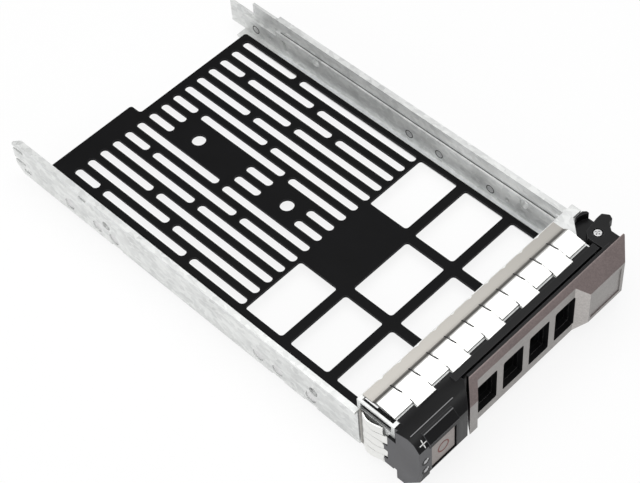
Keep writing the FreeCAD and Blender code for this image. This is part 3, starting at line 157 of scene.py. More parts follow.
class CaddySizes(bpy.types.PropertyGroup):
    """Sizes of the small details."""

    sheet_edge: length_setting("Sheet edge", "Rounding of punched sheet edges", 0.12 * MM)
    moulded_edge: length_setting("Moulded edge", "Rounding of moulded edges", 0.35 * MM)
    handle_edge: length_setting("Handle edge", "Rounding of the handle face", 0.25 * MM)
    finger_slit: length_setting("Finger slit", "Gap between two spring fingers", 0.14 * MM)
    spring_sheet: length_setting("Spring sheet", "Thickness of the spring strip", 0.4 * MM)
    strip_width: length_setting("Strip width", "Flat strip of the top gasket", 4.0 * MM)
    ramp_width: length_setting("Ramp width", "Rise from the strip to the fingers' crest", 2.3 * MM)
    finger_step: length_setting("Finger step", "How much every other finger is shorter", 1.6 * MM)
    scallop: length_setting("Scallop", "Dip in the strip's rear edge at each slit", 0.45 * MM)
    crinkle: length_setting("Crinkle", "Waves in the side fingers", 0.5 * MM)
    mark_proud: length_setting("Mark height", "Marks above the surface they are on", 0.05 * MM)
    ring_radius: length_setting("Ring radius", "Radius of the ring on the button", 2.3 * MM)
    ring_line: length_setting("Ring line", "Width of that ring", 0.5 * MM)
    lens_ring: length_setting("Lens ring", "Radius of the rings around the light pipes", 1.35 * MM)
    mark_length: length_setting("Mark length", "Length of the plus mark's two bars", 3.0 * MM)
    lens_line: length_setting("Lens ring line", "Width of the rings around the light pipes", 0.8 * MM)
    rivet_ring: length_setting("Rivet ring", "Radius of the dark ring around each rivet", 1.65 * MM)
    rivet_line: length_setting("Rivet ring line", "Width of the rings around the rivets", 0.35 * MM)
    # The seam is a line of painted shadow where each angle meets its rail.
    seam_shadow_line: length_setting("Seam line", "Dark seam between each angle and its rail", 0.3 * MM)
    seam_stop: length_setting("Seam stop", "Seam and foot line end ahead of the angle's rear end", 19.5 * MM)
    # The foot line is a painted highlight along each angle's foot.
    foot_line: length_setting("Foot line", "Polished line along each angle's foot", 1.1 * MM)
    foot_inset: length_setting("Foot inset", "That line from the angle's outer face", 2.0 * MM)
    angle_sheet: length_setting("Angle sheet", "Thickness of the angles", 1.0 * MM)
    tick_length: length_setting("Tick length", "Dark ticks towards the front of the gasket's slits", 1.6 * MM)
    mark_line: length_setting("Mark line", "Width of the plus mark's bars and the slit ticks", 0.35 * MM)
    # The gasket's slit ticks and the curved lines behind them are painted shade in the slits.
    press_mark: length_setting("Press mark", "Width and sway of the gasket's press marks", 0.5 * MM)
    # How far back the painted sheen on the bezel's indicator column reaches.
    sheen_depth: length_setting("Smooth depth", "How far back the bezel's smooth faces reach", 11.0 * MM)
    crest_back: length_setting("Crest", "Bezel's crest behind its front face", 4.9 * MM)
    hood_rim: length_setting("Hood rim", "Button's edge to the hood's edge", 1.3 * MM)
    hood_rise: length_setting("Hood height", "Hood's upper edge below the bezel's top", 0.1 * MM)
    hood_drop: length_setting("Hood slope", "Hood's lower edge below its upper edge", 2.8 * MM)
    hood_back: length_setting("Hood depth", "Hood's upper edge behind the front face", 2.4 * MM)
    hood_front: length_setting("Hood reach", "Hood's lower edge ahead of the front face", 0.3 * MM)
    # Width of the painted highlights along the bezel's edges.
    edge_highlight_line: length_setting("Edge line", "Width of the polished edges", 0.28 * MM)
    windows_left: length_setting("Windows left", "Handle's left end to its windows", 6.9 * MM)
    windows_right: length_setting("Windows right", "Handle's right end to its windows", 26.0 * MM)
    windows_low: length_setting("Windows low", "Lower edge of the windows above the tray", 3.0 * MM)
    windows_high: length_setting("Windows high", "Upper edge of the windows above the tray", 18.2 * MM)
    plus_left: length_setting("Plus left", "Plus mark from the bezel's left end", 3.0 * MM)
    plus_up: length_setting("Plus up", "Plus mark up the bezel's slope", 1.9 * MM)
    slope_low: length_setting("Slope low", "Lower edge of the bezel's slope above the tray", 20.0 * MM)


class CaddyStudio(bpy.types.PropertyGroup):
    """Camera and light."""

    camera_place: bpy.props.FloatVectorProperty(
        name="Camera place", description="Where the camera stands", size=3, subtype="TRANSLATION",
        default=(-0.25148, -0.28672, 0.47992))
    camera_turn: bpy.props.FloatVectorProperty(
        name="Camera turn", description="How the camera is turned", size=3, subtype="EULER",
        default=(math.radians(37.811), math.radians(3.254), math.radians(-45.494)))
    lens: bpy.props.FloatProperty(
        name="Lens", description="Focal length in millimetres", default=98.557, min=1)
    world_level: power_setting("World level", "Strength of the light from all round", 0.42)
    overhead_power: power_setting("Overhead lamp", "Large soft lamp above, in watts", 4.2)
    front_power: power_setting("Front lamp", "Soft lamp in front, in watts", 1.2)
    side_power: power_setting("Side lamp", "Soft lamp on the left, in watts", 2.2)
    floor_size: length_setting("Floor size", "Width of the floor", 6.0)


def colours():
    return bpy.context.scene.caddy_colours


def sizes():
    return bpy.context.scene.caddy_sizes


def studio():
    return bpy.context.scene.caddy_studio


# ---------------------------------------------------------------- finishes


class Finish:
    """A material under construction: a Principled shader with short ways to add and join nodes."""

    def __init__(self, name, roughness, metallic=0.0, specular=0.5):
        self.material = bpy.data.materials.new(name)
        self.material.use_nodes = True
        self.tree = self.material.node_tree
        self.shader = self.tree.nodes["Principled BSDF"]
        self.shader.inputs["Roughness"].default_value = roughness
        self.shader.inputs["Metallic"].default_value = metallic
        self.shader.inputs["Specular IOR Level"].default_value = specular
        self.place = self.add("ShaderNodeTexCoord").outputs["Object"]

    def add(self, kind, **settings):
        node = self.tree.nodes.new(kind)
        for name, value in settings.items():
            setattr(node, name, value)
        return node

    def join(self, start, end):
        self.tree.links.new(start, end)

    def stretched(self, stretch):
        """Object coordinates scaled along each axis."""
        mapping = self.add("ShaderNodeMapping")
        mapping.inputs["Scale"].default_value = stretch
        self.join(self.place, mapping.inputs["Vector"])
        return mapping.outputs["Vector"]

    def noise(self, scale, detail=4.0, stretch=(1, 1, 1), rough=0.55):
        texture = self.add("ShaderNodeTexNoise")
        texture.inputs["Scale"].default_value = scale
        texture.inputs["Detail"].default_value = detail
        texture.inputs["Roughness"].default_value = rough
        self.join(self.stretched(stretch), texture.inputs["Vector"])
        return texture.outputs["Fac"]

    def cells(self, scale, stretch=(1, 1, 1)):
        """One random grey for each crystal of a cell pattern."""
        texture = self.add("ShaderNodeTexVoronoi", feature="F1")
        texture.inputs["Scale"].default_value = scale
        self.join(self.stretched(stretch), texture.inputs["Vector"])
        split = self.add("ShaderNodeSeparateColor")
        self.join(texture.outputs["Color"], split.inputs["Color"])
        return split.outputs["Red"]

    def blend(self, first, second, share):
        """Mix two values by a fixed share of the second."""
        mix = self.add("ShaderNodeMix", data_type="FLOAT")
        mix.inputs["Factor"].default_value = share
        self.join(first, mix.inputs["A"])
        self.join(second, mix.inputs["B"])
        return mix.outputs["Result"]

    def ramp(self, value, stops):
        """A colour ramp over a value, from (place, colour) stops."""
        ramp = self.add("ShaderNodeValToRGB")
        elements = ramp.color_ramp.elements
        while len(elements) < len(stops):
            elements.new(0.5)
        for element, (place, colour) in zip(elements, stops):
            element.position = place
            element.color = (*colour, 1.0)
        self.join(value, ramp.inputs["Fac"])
        return ramp.outputs["Color"]

    def scaled(self, value, low, high):
        """Spread a 0 to 1 value over a range."""
        spread = self.add("ShaderNodeMapRange")
        spread.inputs["To Min"].default_value = low
        spread.inputs["To Max"].default_value = high
        self.join(value, spread.inputs["Value"])
        return spread.outputs["Result"]

    def worn(self, colour, bare, width, share):
        """Let a lighter colour show through along the edges."""
        round_normal = self.add("ShaderNodeBevel", samples=4)
        round_normal.inputs["Radius"].default_value = width
        flat_normal = self.add("ShaderNodeNewGeometry")
        match = self.add("ShaderNodeVectorMath", operation="DOT_PRODUCT")
        self.join(round_normal.outputs["Normal"], match.inputs[0])
        self.join(flat_normal.outputs["Normal"], match.inputs[1])
        edge = self.add("ShaderNodeMapRange")
        edge.inputs["From Min"].default_value = 1.0
        edge.inputs["From Max"].default_value = 0.8
        edge.inputs["To Max"].default_value = share
        self.join(match.outputs["Value"], edge.inputs["Value"])
        patch = self.add("ShaderNodeMath", operation="MULTIPLY")
        self.join(edge.outputs["Result"], patch.inputs[0])
        self.join(self.noise(260.0, 4.0), patch.inputs[1])
        mix = self.add("ShaderNodeMix", data_type="RGBA")
        self.join(patch.outputs[0], mix.inputs["Factor"])
        self.join(colour, mix.inputs["A"])
        mix.inputs["B"].default_value = (*bare, 1.0)
        return mix.outputs["Result"]

    def colour(self, output):
        self.join(output, self.shader.inputs["Base Color"])

    def roughness(self, value, low, high):
        self.join(self.scaled(value, low, high), self.shader.inputs["Roughness"])

    def bump(self, value, strength, depth):
        bump = self.add("ShaderNodeBump")
        bump.inputs["Strength"].default_value = strength
        bump.inputs["Distance"].default_value = depth
        self.join(value, bump.inputs["Height"])
        self.join(bump.outputs["Normal"], self.shader.inputs["Normal"])


def shade(colour, factor):
    return tuple(min(1.0, channel * factor) for channel in colour)


def zinc_finish():
    """Galvanised sheet: small dull and bright crystals, cloudy patches and faint rolling streaks."""
    pot = colours()
    finish = Finish("galvanised_zinc", 0.42, metallic=0.55)
    crystals = finish.cells(750.0, (1, 0.6, 1))
    clouds = finish.noise(85.0, 6.0, rough=0.65)
    streaks = finish.noise(160.0, 3.0, (1, 0.06, 1))
    mixed = finish.blend(finish.blend(clouds, crystals, 0.25), streaks, 0.25)
    finish.colour(finish.ramp(mixed, ((0.32, pot.zinc_dark), (0.62, pot.zinc_light))))
    finish.roughness(mixed, 0.40, 0.54)
    finish.bump(finish.noise(1800.0, 3.0), 0.12, 0.05 * MM)
    return finish.material


def tray_finish():
    """Satin black powder coat with a fine orange peel."""
    pot = colours()
    finish = Finish("tray_powder_coat", 0.5, specular=0.10)
    clouds = finish.noise(60.0, 4.0)
    coat = finish.ramp(clouds, ((0.35, shade(pot.tray, 0.75)), (0.7, shade(pot.tray, 1.35))))
    finish.colour(finish.worn(coat, (0.10, 0.10, 0.105), 0.35 * MM, 0.7))
    finish.roughness(clouds, 0.44, 0.56)
    finish.bump(finish.noise(1400.0, 2.0), 0.18, 0.04 * MM)
    return finish.material


def spring_finish(name, along, dull, bright):
    """Bright spring stainless whose rear strip is painted darker than its fingers, with a band of painted
    shade across the ramp between them, measured along one axis.
    """
    pot = colours()
    finish = Finish(name, 0.22, metallic=0.9)
    split = finish.add("ShaderNodeSeparateXYZ")
    finish.join(finish.place, split.inputs["Vector"])
    span = finish.add("ShaderNodeMapRange")
    span.inputs["From Min"].default_value = dull
    span.inputs["From Max"].default_value = bright
    finish.join(split.outputs[along], span.inputs["Value"])
    streaks = finish.noise(240.0, 4.0, (0.05, 1, 1))
    worn = finish.blend(span.outputs["Result"], streaks, 0.12)
    # The two middle stops are darker copies of the strip: painted shade across the ramp up to the crest.
    finish.colour(finish.ramp(worn, ((0.10, pot.spring_strip), (0.45, shade(pot.spring_strip, 0.5)),
                                     (0.62, shade(pot.spring_strip, 0.6)), (0.80, pot.spring))))
    finish.roughness(streaks, 0.28, 0.42)
    finish.bump(streaks, 0.08, 0.03 * MM)
    return finish.material


def plastic_finish(name, colour, roughness, specular=0.22, grain=2200.0, depth=0.03):
    """Moulded plastic with spark-eroded grain and slight cloudiness."""
    finish = Finish(name, roughness, specular=specular)
    clouds = finish.noise(70.0, 4.0)
    moulded = finish.ramp(clouds, ((0.3, shade(colour, 0.85)), (0.7, shade(colour, 1.15))))
    finish.colour(finish.worn(moulded, (0.11, 0.11, 0.115), 0.4 * MM, 0.7))
    finish.roughness(clouds, roughness - 0.05, roughness + 0.08)
    finish.bump(finish.noise(grain, 3.0, rough=0.7), 0.35, depth * MM)
    return finish.material


def metallic_paint_finish(name, colour, roughness, metallic):
    """Fine metallic lacquer over plastic, with tiny flakes."""
    finish = Finish(name, roughness, metallic=metallic)
    flakes = finish.cells(2600.0)
    clouds = finish.noise(45.0, 3.0)
    mixed = finish.blend(clouds, flakes, 0.3)
    lacquer = finish.ramp(mixed, ((0.3, shade(colour, 0.86)), (0.7, shade(colour, 1.14))))
    finish.colour(finish.worn(lacquer, shade(colour, 1.9), 0.3 * MM, 0.8))
    finish.roughness(clouds, roughness - 0.04, roughness + 0.08)
    finish.bump(finish.noise(2600.0, 2.0), 0.1, 0.02 * MM)
    return finish.material


def steel_finish(name, level, roughness):
    """Plain bright steel for rivets, wire and the screw."""
    finish = Finish(name, roughness, metallic=0.9)
    scuffs = finish.noise(420.0, 4.0)
    finish.colour(finish.ramp(scuffs, ((0.3, (level * 0.82,) * 3), (0.7, (level,) * 3))))
    finish.roughness(scuffs, roughness - 0.06, roughness + 0.12)
    return finish.material


def mark_finish(name, colour):
    """Printed or moulded marks, a little uneven."""
    finish = Finish(name, 0.5, specular=0.3)
    clouds = finish.noise(500.0, 3.0)
    finish.colour(finish.ramp(clouds, ((0.3, shade(colour, 0.8)), (0.7, colour))))
    finish.roughness(clouds, 0.45, 0.6)
    return finish.material


def lens_finish():
    """Cloudy clear plastic of the light pipes."""
    finish = Finish("light_pipe_plastic", 0.2, specular=0.6)
    clouds = finish.noise(300.0, 3.0)
    finish.colour(finish.ramp(clouds, ((0.3, (0.22, 0.22, 0.23)), (0.7, (0.42, 0.42, 0.43)))))
    finish.roughness(clouds, 0.12, 0.3)
    finish.shader.inputs["Coat Weight"].default_value = 0.5
    return finish.material


# ---------------------------------------------------------------- mesh helpers


def mesh_piece(name, mesh, body, slot, *finishes):
    """Put a mesh in the scene as a piece that rides on a body. The slot argument is not used."""
    piece = bpy.data.objects.new(name, mesh)
    bpy.context.scene.collection.objects.link(piece)
    for finish in finishes:
        mesh.materials.append(finish)
    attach(piece, body)
    return piece


def welded_copy(node, name):
    """A clean mesh of a frame node: welded, with every flat area as few faces as it needs."""
    source = frame["nodes"][node].data
    mesh = bpy.data.meshes.new(name)
    faces = [list(face.vertices) for face in source.polygons]
    mesh.from_pydata([vertex.co for vertex in source.vertices], [], faces)
    work = bmesh.new()
    work.from_mesh(mesh)
    bmesh.ops.remove_doubles(work, verts=work.verts, dist=WELD)
    flat = math.radians(FLAT_TURN)
    bmesh.ops.dissolve_limit(work, angle_limit=flat, verts=work.verts, edges=work.edges)
    bmesh.ops.recalc_face_normals(work, faces=work.faces)
    work.to_mesh(mesh)
    work.free()
    return mesh


def apply_modifiers(piece):
    """Turn a piece's modifiers into plain mesh."""
    bpy.context.view_layer.update()
    graph = bpy.context.evaluated_depsgraph_get()
    mesh = bpy.data.meshes.new_from_object(piece.evaluated_get(graph))
    piece.modifiers.clear()
    piece.data = mesh


def round_edges(piece, width, segments):
    """Round a piece's sharp edges and keep its flat faces flat in the shading."""
    bevel = piece.modifiers.new("edges", "BEVEL")
    bevel.width = width
    bevel.segments = segments
    bevel.limit_method = "ANGLE"
    bevel.angle_limit = math.radians(SHARP_TURN)
    bevel.use_clamp_overlap = True
    apply_modifiers(piece)
    smooth(piece, SHARP_TURN)


def smooth(piece, angle):
    """Smooth shading that stops at sharp edges and leaves large faces flat."""
    piece.data.shade_smooth()
    piece.data.set_sharp_from_angle(angle=math.radians(angle))
    weigh = piece.modifiers.new("flat_faces", "WEIGHTED_NORMAL")
    weigh.keep_sharp = True
    apply_modifiers(piece)


def node_slot(node):
    """The material slot that the record gives a node."""
    return next(part["material_slot"] for part in frame["record"]["subparts"] if part["node"] == node)


def node_body(node):
    return frame["nodes"][node]["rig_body"]


def dress(node, finish, edge, segments=2):
    """Replace a frame node by a copy with rounded edges and its own finish."""
    name = node + "_finished"
    piece = mesh_piece(name, welded_copy(node, name), node_body(node), node_slot(node), finish)
    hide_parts(node)
    round_edges(piece, edge, segments)
    return piece


def sheet_from_grid(name, rows, keep):
    """A sheet mesh over rows of points; keep(row, column) says whether the face after that point is there."""
    mesh = bpy.data.meshes.new(name)
    across = len(rows[0])
    points = [point for row in rows for point in row]
    faces = []
    for row in range(len(rows) - 1):
        for column in range(across - 1):
            if keep(row, column):
                corner = row * across + column
                faces.append((corner, corner + 1, corner + across + 1, corner + across))
    mesh.from_pydata(points, [], faces)
    work = bmesh.new()
    work.from_mesh(mesh)
    loose = [vertex for vertex in work.verts if not vertex.link_faces]
    bmesh.ops.delete(work, geom=loose, context="VERTS")
    work.to_mesh(mesh)
    work.free()
    return mesh


def ribbon(name, path, width, facing, proud, closed=False):
    """A flat line along a path of points: its width lies in the surface, and it stands proud of it."""
    rows = []
    count = len(path)
    for number, point in enumerate(path):
        after = path[(number + 1) % count] if closed else path[min(number + 1, count - 1)]
        before = path[(number - 1) % count] if closed else path[max(number - 1, 0)]
        side = facing.cross((after - before).normalized()) * width / 2
        rows.append((point + side, point - side))
    lift = facing * proud
    points, faces = [], []
    for left, right in rows:
        points += [left, right, right + lift, left + lift]
    for number in range(count if closed else count - 1):
        here, there = number * 4, (number + 1) % count * 4
        for corner in range(4):
            after = (corner + 1) % 4
            faces.append((here + corner, here + after, there + after, there + corner))
    if not closed:
        faces += [(3, 2, 1, 0), tuple((count - 1) * 4 + corner for corner in range(4))]
    mesh = bpy.data.meshes.new(name)
    mesh.from_pydata(points, [], faces)
    work = bmesh.new()
    work.from_mesh(mesh)
    bmesh.ops.recalc_face_normals(work, faces=work.faces)
    work.to_mesh(mesh)
    work.free()
    return mesh


def line_piece(name, path, width, facing, body, slot, finish, closed=False):
    """A flat line, such as a seam, a ring or a mark, as a piece of its own."""
    mesh = ribbon(name, path, width, facing, sizes().mark_proud, closed)
    return mesh_piece(name, mesh, body, slot, finish)


def front_middle(node):
    """The middle of the front of a frame node's box."""
    low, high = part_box(node)
    return Vector(((low.x + high.x) / 2, low.y, (low.z + high.z) / 2))


def islands(node):
    """The boxes of a frame node's separate parts, from front to rear."""
    work = bmesh.new()
    work.from_mesh(welded_copy(node, node + "_islands"))
    waiting = set(work.verts)
    boxes = []
    while waiting:
        part, edge = set(), {waiting.pop()}
        while edge:
            part |= edge
            edge = {other for vertex in edge for link in vertex.link_edges for other in link.verts} - part
        waiting -= part
        boxes.append(tuple(Vector([pick(vertex.co[axis] for vertex in part) for axis in range(3)])
                           for pick in (min, max)))
    work.free()
    return sorted(boxes, key=lambda box: box[0].y)


def arc(centre, first, second, radius, start, end, steps):
    """Points along a circle spanned by two directions, between two angles in degrees."""
    points = []
    for step in range(steps):
        angle = math.radians(start + (end - start) * step / (steps - 1))
        points.append(centre + (first * math.cos(angle) + second * math.sin(angle)) * radius)
    return points


def circle(centre, first, second, radius, steps):
    """Points round a full circle, for a closed ribbon."""
    return arc(centre, first, second, radius, 0, 360 - 360 / steps, steps)


def thicken(piece, thickness, offset):
    """Give a sheet its thickness, to the side that the offset says."""
    solid = piece.modifiers.new("sheet", "SOLIDIFY")
    solid.thickness = thickness
    solid.offset = offset
    apply_modifiers(piece)
    smooth(piece, SHEET_SHARP_TURN)


# ---------------------------------------------------------------- operators


class CADDY_OT_tray(bpy.types.Operator):
    """Give the tray its powder coat and punched edges"""

    bl_idname = "caddy.tray"
    bl_label = "Tray"

    def execute(self, context):
        dress("base_plate", tray_finish(), sizes().sheet_edge, 1)
        dress("plate_rivets", steel_finish("tray_rivet_steel", 0.6, 0.35), sizes().sheet_edge)
        return {"FINISHED"}


class CADDY_OT_rails(bpy.types.Operator):
    """Give the rails and the inner angles a zinc finish, and their rivets a steel one"""

    bl_idname = "caddy.rails"
    bl_label = "Rails and angles"

    def execute(self, context):
        zinc = zinc_finish()
        rivet = steel_finish("rail_rivet_steel", 0.8, 0.45)
        for side in ("left", "right"):
            dress(side + "_side_rail", zinc, sizes().sheet_edge)
            dress(side + "_inner_angle", zinc, sizes().sheet_edge)
            dress(side + "_rail_rivets", rivet, sizes().sheet_edge)
        return {"FINISHED"}


class CADDY_OT_front_frame(bpy.types.Operator):
    """Give the front frame a zinc finish"""

    bl_idname = "caddy.front_frame"
    bl_label = "Front frame"

    def execute(self, context):
        dress("front_frame", zinc_finish(), sizes().sheet_edge)
        return {"FINISHED"}


# Top and bottom gaskets: their fingers, and the rows and columns of their mesh.
FINGERS = 11
STRIP_ROWS = 4
RAMP_ROWS = 8
SLOPE_ROWS = 14
COLUMNS_IN_FINGER = 8
# How the fingers fall from their crest: 1 is straight, and more stays high for longer.
SLOPE_CURVE = 1.5
# Half width of the dip at each slit, as a share of a finger.
SCALLOP_SHARE = 0.09
# Side gasket: its fingers, the rows and steps of its mesh, and the steps of its flat strip.
SIDE_FINGERS = 5
SIDE_ROWS_IN_FINGER = 10
SIDE_STEPS = 22
SIDE_STRIP_STEPS = 3
# How much of its room the side gasket's bulge takes, before its crinkles, and how much stays flat
# at the rear.
SIDE_FULLNESS = 0.72
SIDE_FLAT = 0.1
# Crinkles of the side gasket for each metre, up and along.
CRINKLES_UP = 420
CRINKLES_ALONG = 260


def finger_lines(low, pitch, fingers, steps):
    """Places across a row of fingers, with a slit between each two."""
    half_slit = sizes().finger_slit / 2
    lines = []
    for finger in range(fingers):
        start = low + pitch * finger + (half_slit if finger else 0)
        end = low + pitch * (finger + 1) - (half_slit if finger < fingers - 1 else 0)
        lines += [start + (end - start) * step / steps for step in range(steps + 1)]
    return lines


def gasket_mesh(name, low, high, up):
    """The spring strip: flat at the rear, a soft ramp to a crest and long fingers that slope to the front."""
    size = sizes()
    rear, front = high.y, low.y
    bend = rear - size.strip_width
    crest = bend - size.ramp_width
    seat = low.z if up > 0 else high.z
    lift = high.z - low.z - size.spring_sheet
    pitch = (high.x - low.x) / FINGERS
    profile = [(rear + (bend - rear) * step / STRIP_ROWS, 0.0) for step in range(STRIP_ROWS + 1)]
    for step in range(1, RAMP_ROWS + 1):
        share = step / RAMP_ROWS
        profile.append((bend + (crest - bend) * share, lift * share * share * (3 - 2 * share)))
    for step in range(1, SLOPE_ROWS + 1):
        share = step / SLOPE_ROWS
        profile.append((crest + (front - crest) * share, lift * (1 - share ** SLOPE_CURVE)))
    columns = finger_lines(low.x, pitch, FINGERS, COLUMNS_IN_FINGER)
    step_front = front + size.finger_step
    rows = []
    for number, (y, z) in enumerate(profile):
        row = []
        for x in columns:
            place = (x - low.x) / pitch
            near = (place - round(place)) / SCALLOP_SHARE
            dip = math.exp(-near ** 2) if 0 < round(place) < FINGERS else 0.0
            pull = size.scallop * dip if number == 0 else 0.0
            row.append((x, y - pull, seat + up * (size.spring_sheet + z)))
        rows.append(row)
    width = COLUMNS_IN_FINGER + 1

    def keep(row, column):
        finger, inside = divmod(column, width)
        if inside == COLUMNS_IN_FINGER:
            return row < STRIP_ROWS
        short = finger % 2 == 0
        return not (short and profile[row + 1][0] < step_front)

    return sheet_from_grid(name, rows, keep)


class CADDY_OT_gaskets(bpy.types.Operator):
    """Form the grounding gaskets with their spring fingers"""

    bl_idname = "caddy.gaskets"
    bl_label = "Gaskets"

    def execute(self, context):
        size = sizes()
        for node, up in (("top_gasket", 1), ("bottom_gasket", -1)):
            low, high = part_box(node)
            bend = high.y - size.strip_width
            steel = spring_finish(node + "_steel", "Y", bend, bend - size.ramp_width)
            name = node + "_fingers"
            piece = mesh_piece(name, gasket_mesh(name, low, high, up), "tray", "gasket_steel", steel)
            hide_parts(node)
            thicken(piece, size.spring_sheet, up * 1.0)
        self.side_gasket()
        return {"FINISHED"}

    def side_gasket(self):
        """The side strip: five crinkled fingers that bulge away from the frame."""
        size = sizes()
        low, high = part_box("left_gasket")
        pitch = (high.z - low.z) / SIDE_FINGERS
        bulge = high.x - low.x - size.spring_sheet
        rows = []
        for level in finger_lines(low.z, pitch, SIDE_FINGERS, SIDE_ROWS_IN_FINGER):
            row = []
            for step in range(SIDE_STEPS + 1):
                share = step / SIDE_STEPS
                y = high.y + (low.y - high.y) * share
                bent = min(1.0, max(0.0, (share - SIDE_FLAT) / (1 - SIDE_FLAT)))
                hump = math.sin(math.pi * bent ** 0.7) ** 1.2
                crinkle = noise.noise(Vector((level * CRINKLES_UP, y * CRINKLES_ALONG, 0.0)))
                wave = crinkle * size.crinkle * min(1.0, share * 4)
                row.append((high.x - size.spring_sheet - bulge * hump * SIDE_FULLNESS + wave, y, level))
            rows.append(row)
        width = SIDE_ROWS_IN_FINGER + 1

        def keep(row, column):
            finger, inside = divmod(row, width)
            if inside == SIDE_ROWS_IN_FINGER:
                return column < SIDE_STRIP_STEPS
            end = high.y + (low.y - high.y) * (column + 1) / SIDE_STEPS
            return finger % 2 == 1 or end > low.y + size.finger_step

        steel = spring_finish("left_gasket_steel", "Y", high.y, high.y - size.ramp_width)
        name = "left_gasket_fingers"
        piece = mesh_piece(name, sheet_from_grid(name, rows, keep), "tray", "gasket_steel", steel)
        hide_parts("left_gasket")
        thicken(piece, size.spring_sheet, 1.0)


class CADDY_OT_bezel(bpy.types.Operator):
    """Give the bezel, its grille and light pipes their finishes"""

    bl_idname = "caddy.bezel"
    bl_label = "Bezel"

    def execute(self, context):
        black = plastic_finish("bezel_plastic", colours().bezel, 0.42)
        bezel = dress("bezel_body", black, sizes().moulded_edge)
        bezel.data.materials.append(plastic_finish("bezel_smooth_plastic", colours().bezel_painted_sheen, 0.45))
        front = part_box("activity_light_pipe")[0].y
        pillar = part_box("release_button")[0].x
        # Faces of the indicator column that look left or forward take the lighter copy of the black plastic,
        # a painted sheen.
        for polygon in bezel.data.polygons:
            centre, normal = polygon.center, polygon.normal
            on_column = centre.y < front + sizes().sheen_depth and centre.x < pillar
            square = normal.x < -SQUARE_ON or normal.y < -SQUARE_ON
            polygon.material_index = int(on_column and square)
        grille = plastic_finish("grille_black", shade(colours().bezel, 0.5), 0.6, 0.2)
        dress("air_grille", grille, sizes().sheet_edge, 1)
        for node in ("activity_light_pipe", "status_light_pipe"):
            dress(node, lens_finish(), sizes().sheet_edge)
        return {"FINISHED"}


class CADDY_OT_latch(bpy.types.Operator):
    """Give the release button, the latch and its spring their finishes"""

    bl_idname = "caddy.latch"
    bl_label = "Button and latch"

    def execute(self, context):
        dress("release_button", metallic_paint_finish("button_lacquer", colours().button, 0.4, 0.3),
              sizes().moulded_edge)
        dress("latch_slider", plastic_finish("latch_plastic", colours().bezel, 0.4), sizes().sheet_edge)
        dress("latch_spring", steel_finish("latch_spring_steel", 0.6, 0.3), UNROUNDED)
        return {"FINISHED"}


# Places of the handle's finishes in its list of materials, and room below its windows that still counts.
FACE, BEVEL, REVEAL_SHADE, RIM_HIGHLIGHT, SEAM_SHADE = range(5)
SILL_ROOM = 2 * MM


class CADDY_OT_handle(bpy.types.Operator):
    """Give the handle its lacquered face, black lever, spring and screw"""

    bl_idname = "caddy.handle"
    bl_label = "Handle"

    def execute(self, context):
        pot = colours()
        face = dress("handle_face", metallic_paint_finish("handle_face_lacquer", pot.face, 0.42, 0.35),
                     sizes().handle_edge)
        # The sloping top takes a darker, warmer copy of the front's lacquer: painted shade.
        face.data.materials.append(metallic_paint_finish("handle_bevel_lacquer", pot.face_bevel, 0.42, 0.4))
        # The window walls take the bezel's black: painted shade inside the windows.
        face.data.materials.append(plastic_finish("pane_reveal_plastic", pot.bezel, 0.5))
        # The windows' rounded rims take a lighter copy of the front's lacquer: painted highlight.
        face.data.materials.append(metallic_paint_finish("pane_rim_lacquer", shade(pot.face, 1.7), 0.4, 0.35))
        # The rounding between the front and the bevel takes a dark copy of the bevel's lacquer: painted
        # shade.
        face.data.materials.append(plastic_finish("bevel_seam", shade(pot.face_bevel, 0.25), 0.5))
        for polygon in face.data.polygons:
            polygon.material_index = self.finish_place(polygon.center, polygon.normal)
        dress("handle_lever", plastic_finish("lever_plastic", pot.bezel, 0.38), sizes().sheet_edge)
        dress("pivot_screw", steel_finish("pivot_screw_steel", 0.6, 0.3), sizes().sheet_edge)
        dress("handle_spring", steel_finish("handle_spring_steel", 0.6, 0.3), UNROUNDED)
        return {"FINISHED"}

    def finish_place(self, centre, normal):
        """Which finish a part of the handle's face takes, by where it lies and faces."""
        # Faces are sorted by where they lie and face into the painted highlight, the painted shades and the
        # plain front.
        if self.in_window(centre) and abs(normal.y) < SQUARE_ON:
            return REVEAL_SHADE if abs(normal.y) < BEVEL_LEAN else RIM_HIGHLIGHT
        if SEAM_LEAN[0] < normal.z < SEAM_LEAN[1] and normal.y < -BEVEL_LEAN:
            return SEAM_SHADE
        return BEVEL if normal.z > BEVEL_LEAN else FACE

    def in_window(self, centre):
        """Whether a place lies on the walls of the row of windows."""
        low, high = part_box("handle_face")
        size = sizes()
        along = low.x + size.windows_left < centre.x < high.x - size.windows_right
        level = size.windows_low - SILL_ROOM < centre.z < size.windows_high
        return along and level


# Points along each painted slit shade, and its length as a multiple of the gasket's ramp.
SLIT_SHADE_STEPS = 14
SLIT_SHADE_REACH = 2.2
# Points along each seam, and round the rings.
SEAM_STEPS = 8
RING_STEPS = 48
LENS_STEPS = 40
RIVET_STEPS = 24
# The rings around the light pipes run between these, in degrees.
LENS_ARC = (70, 360)


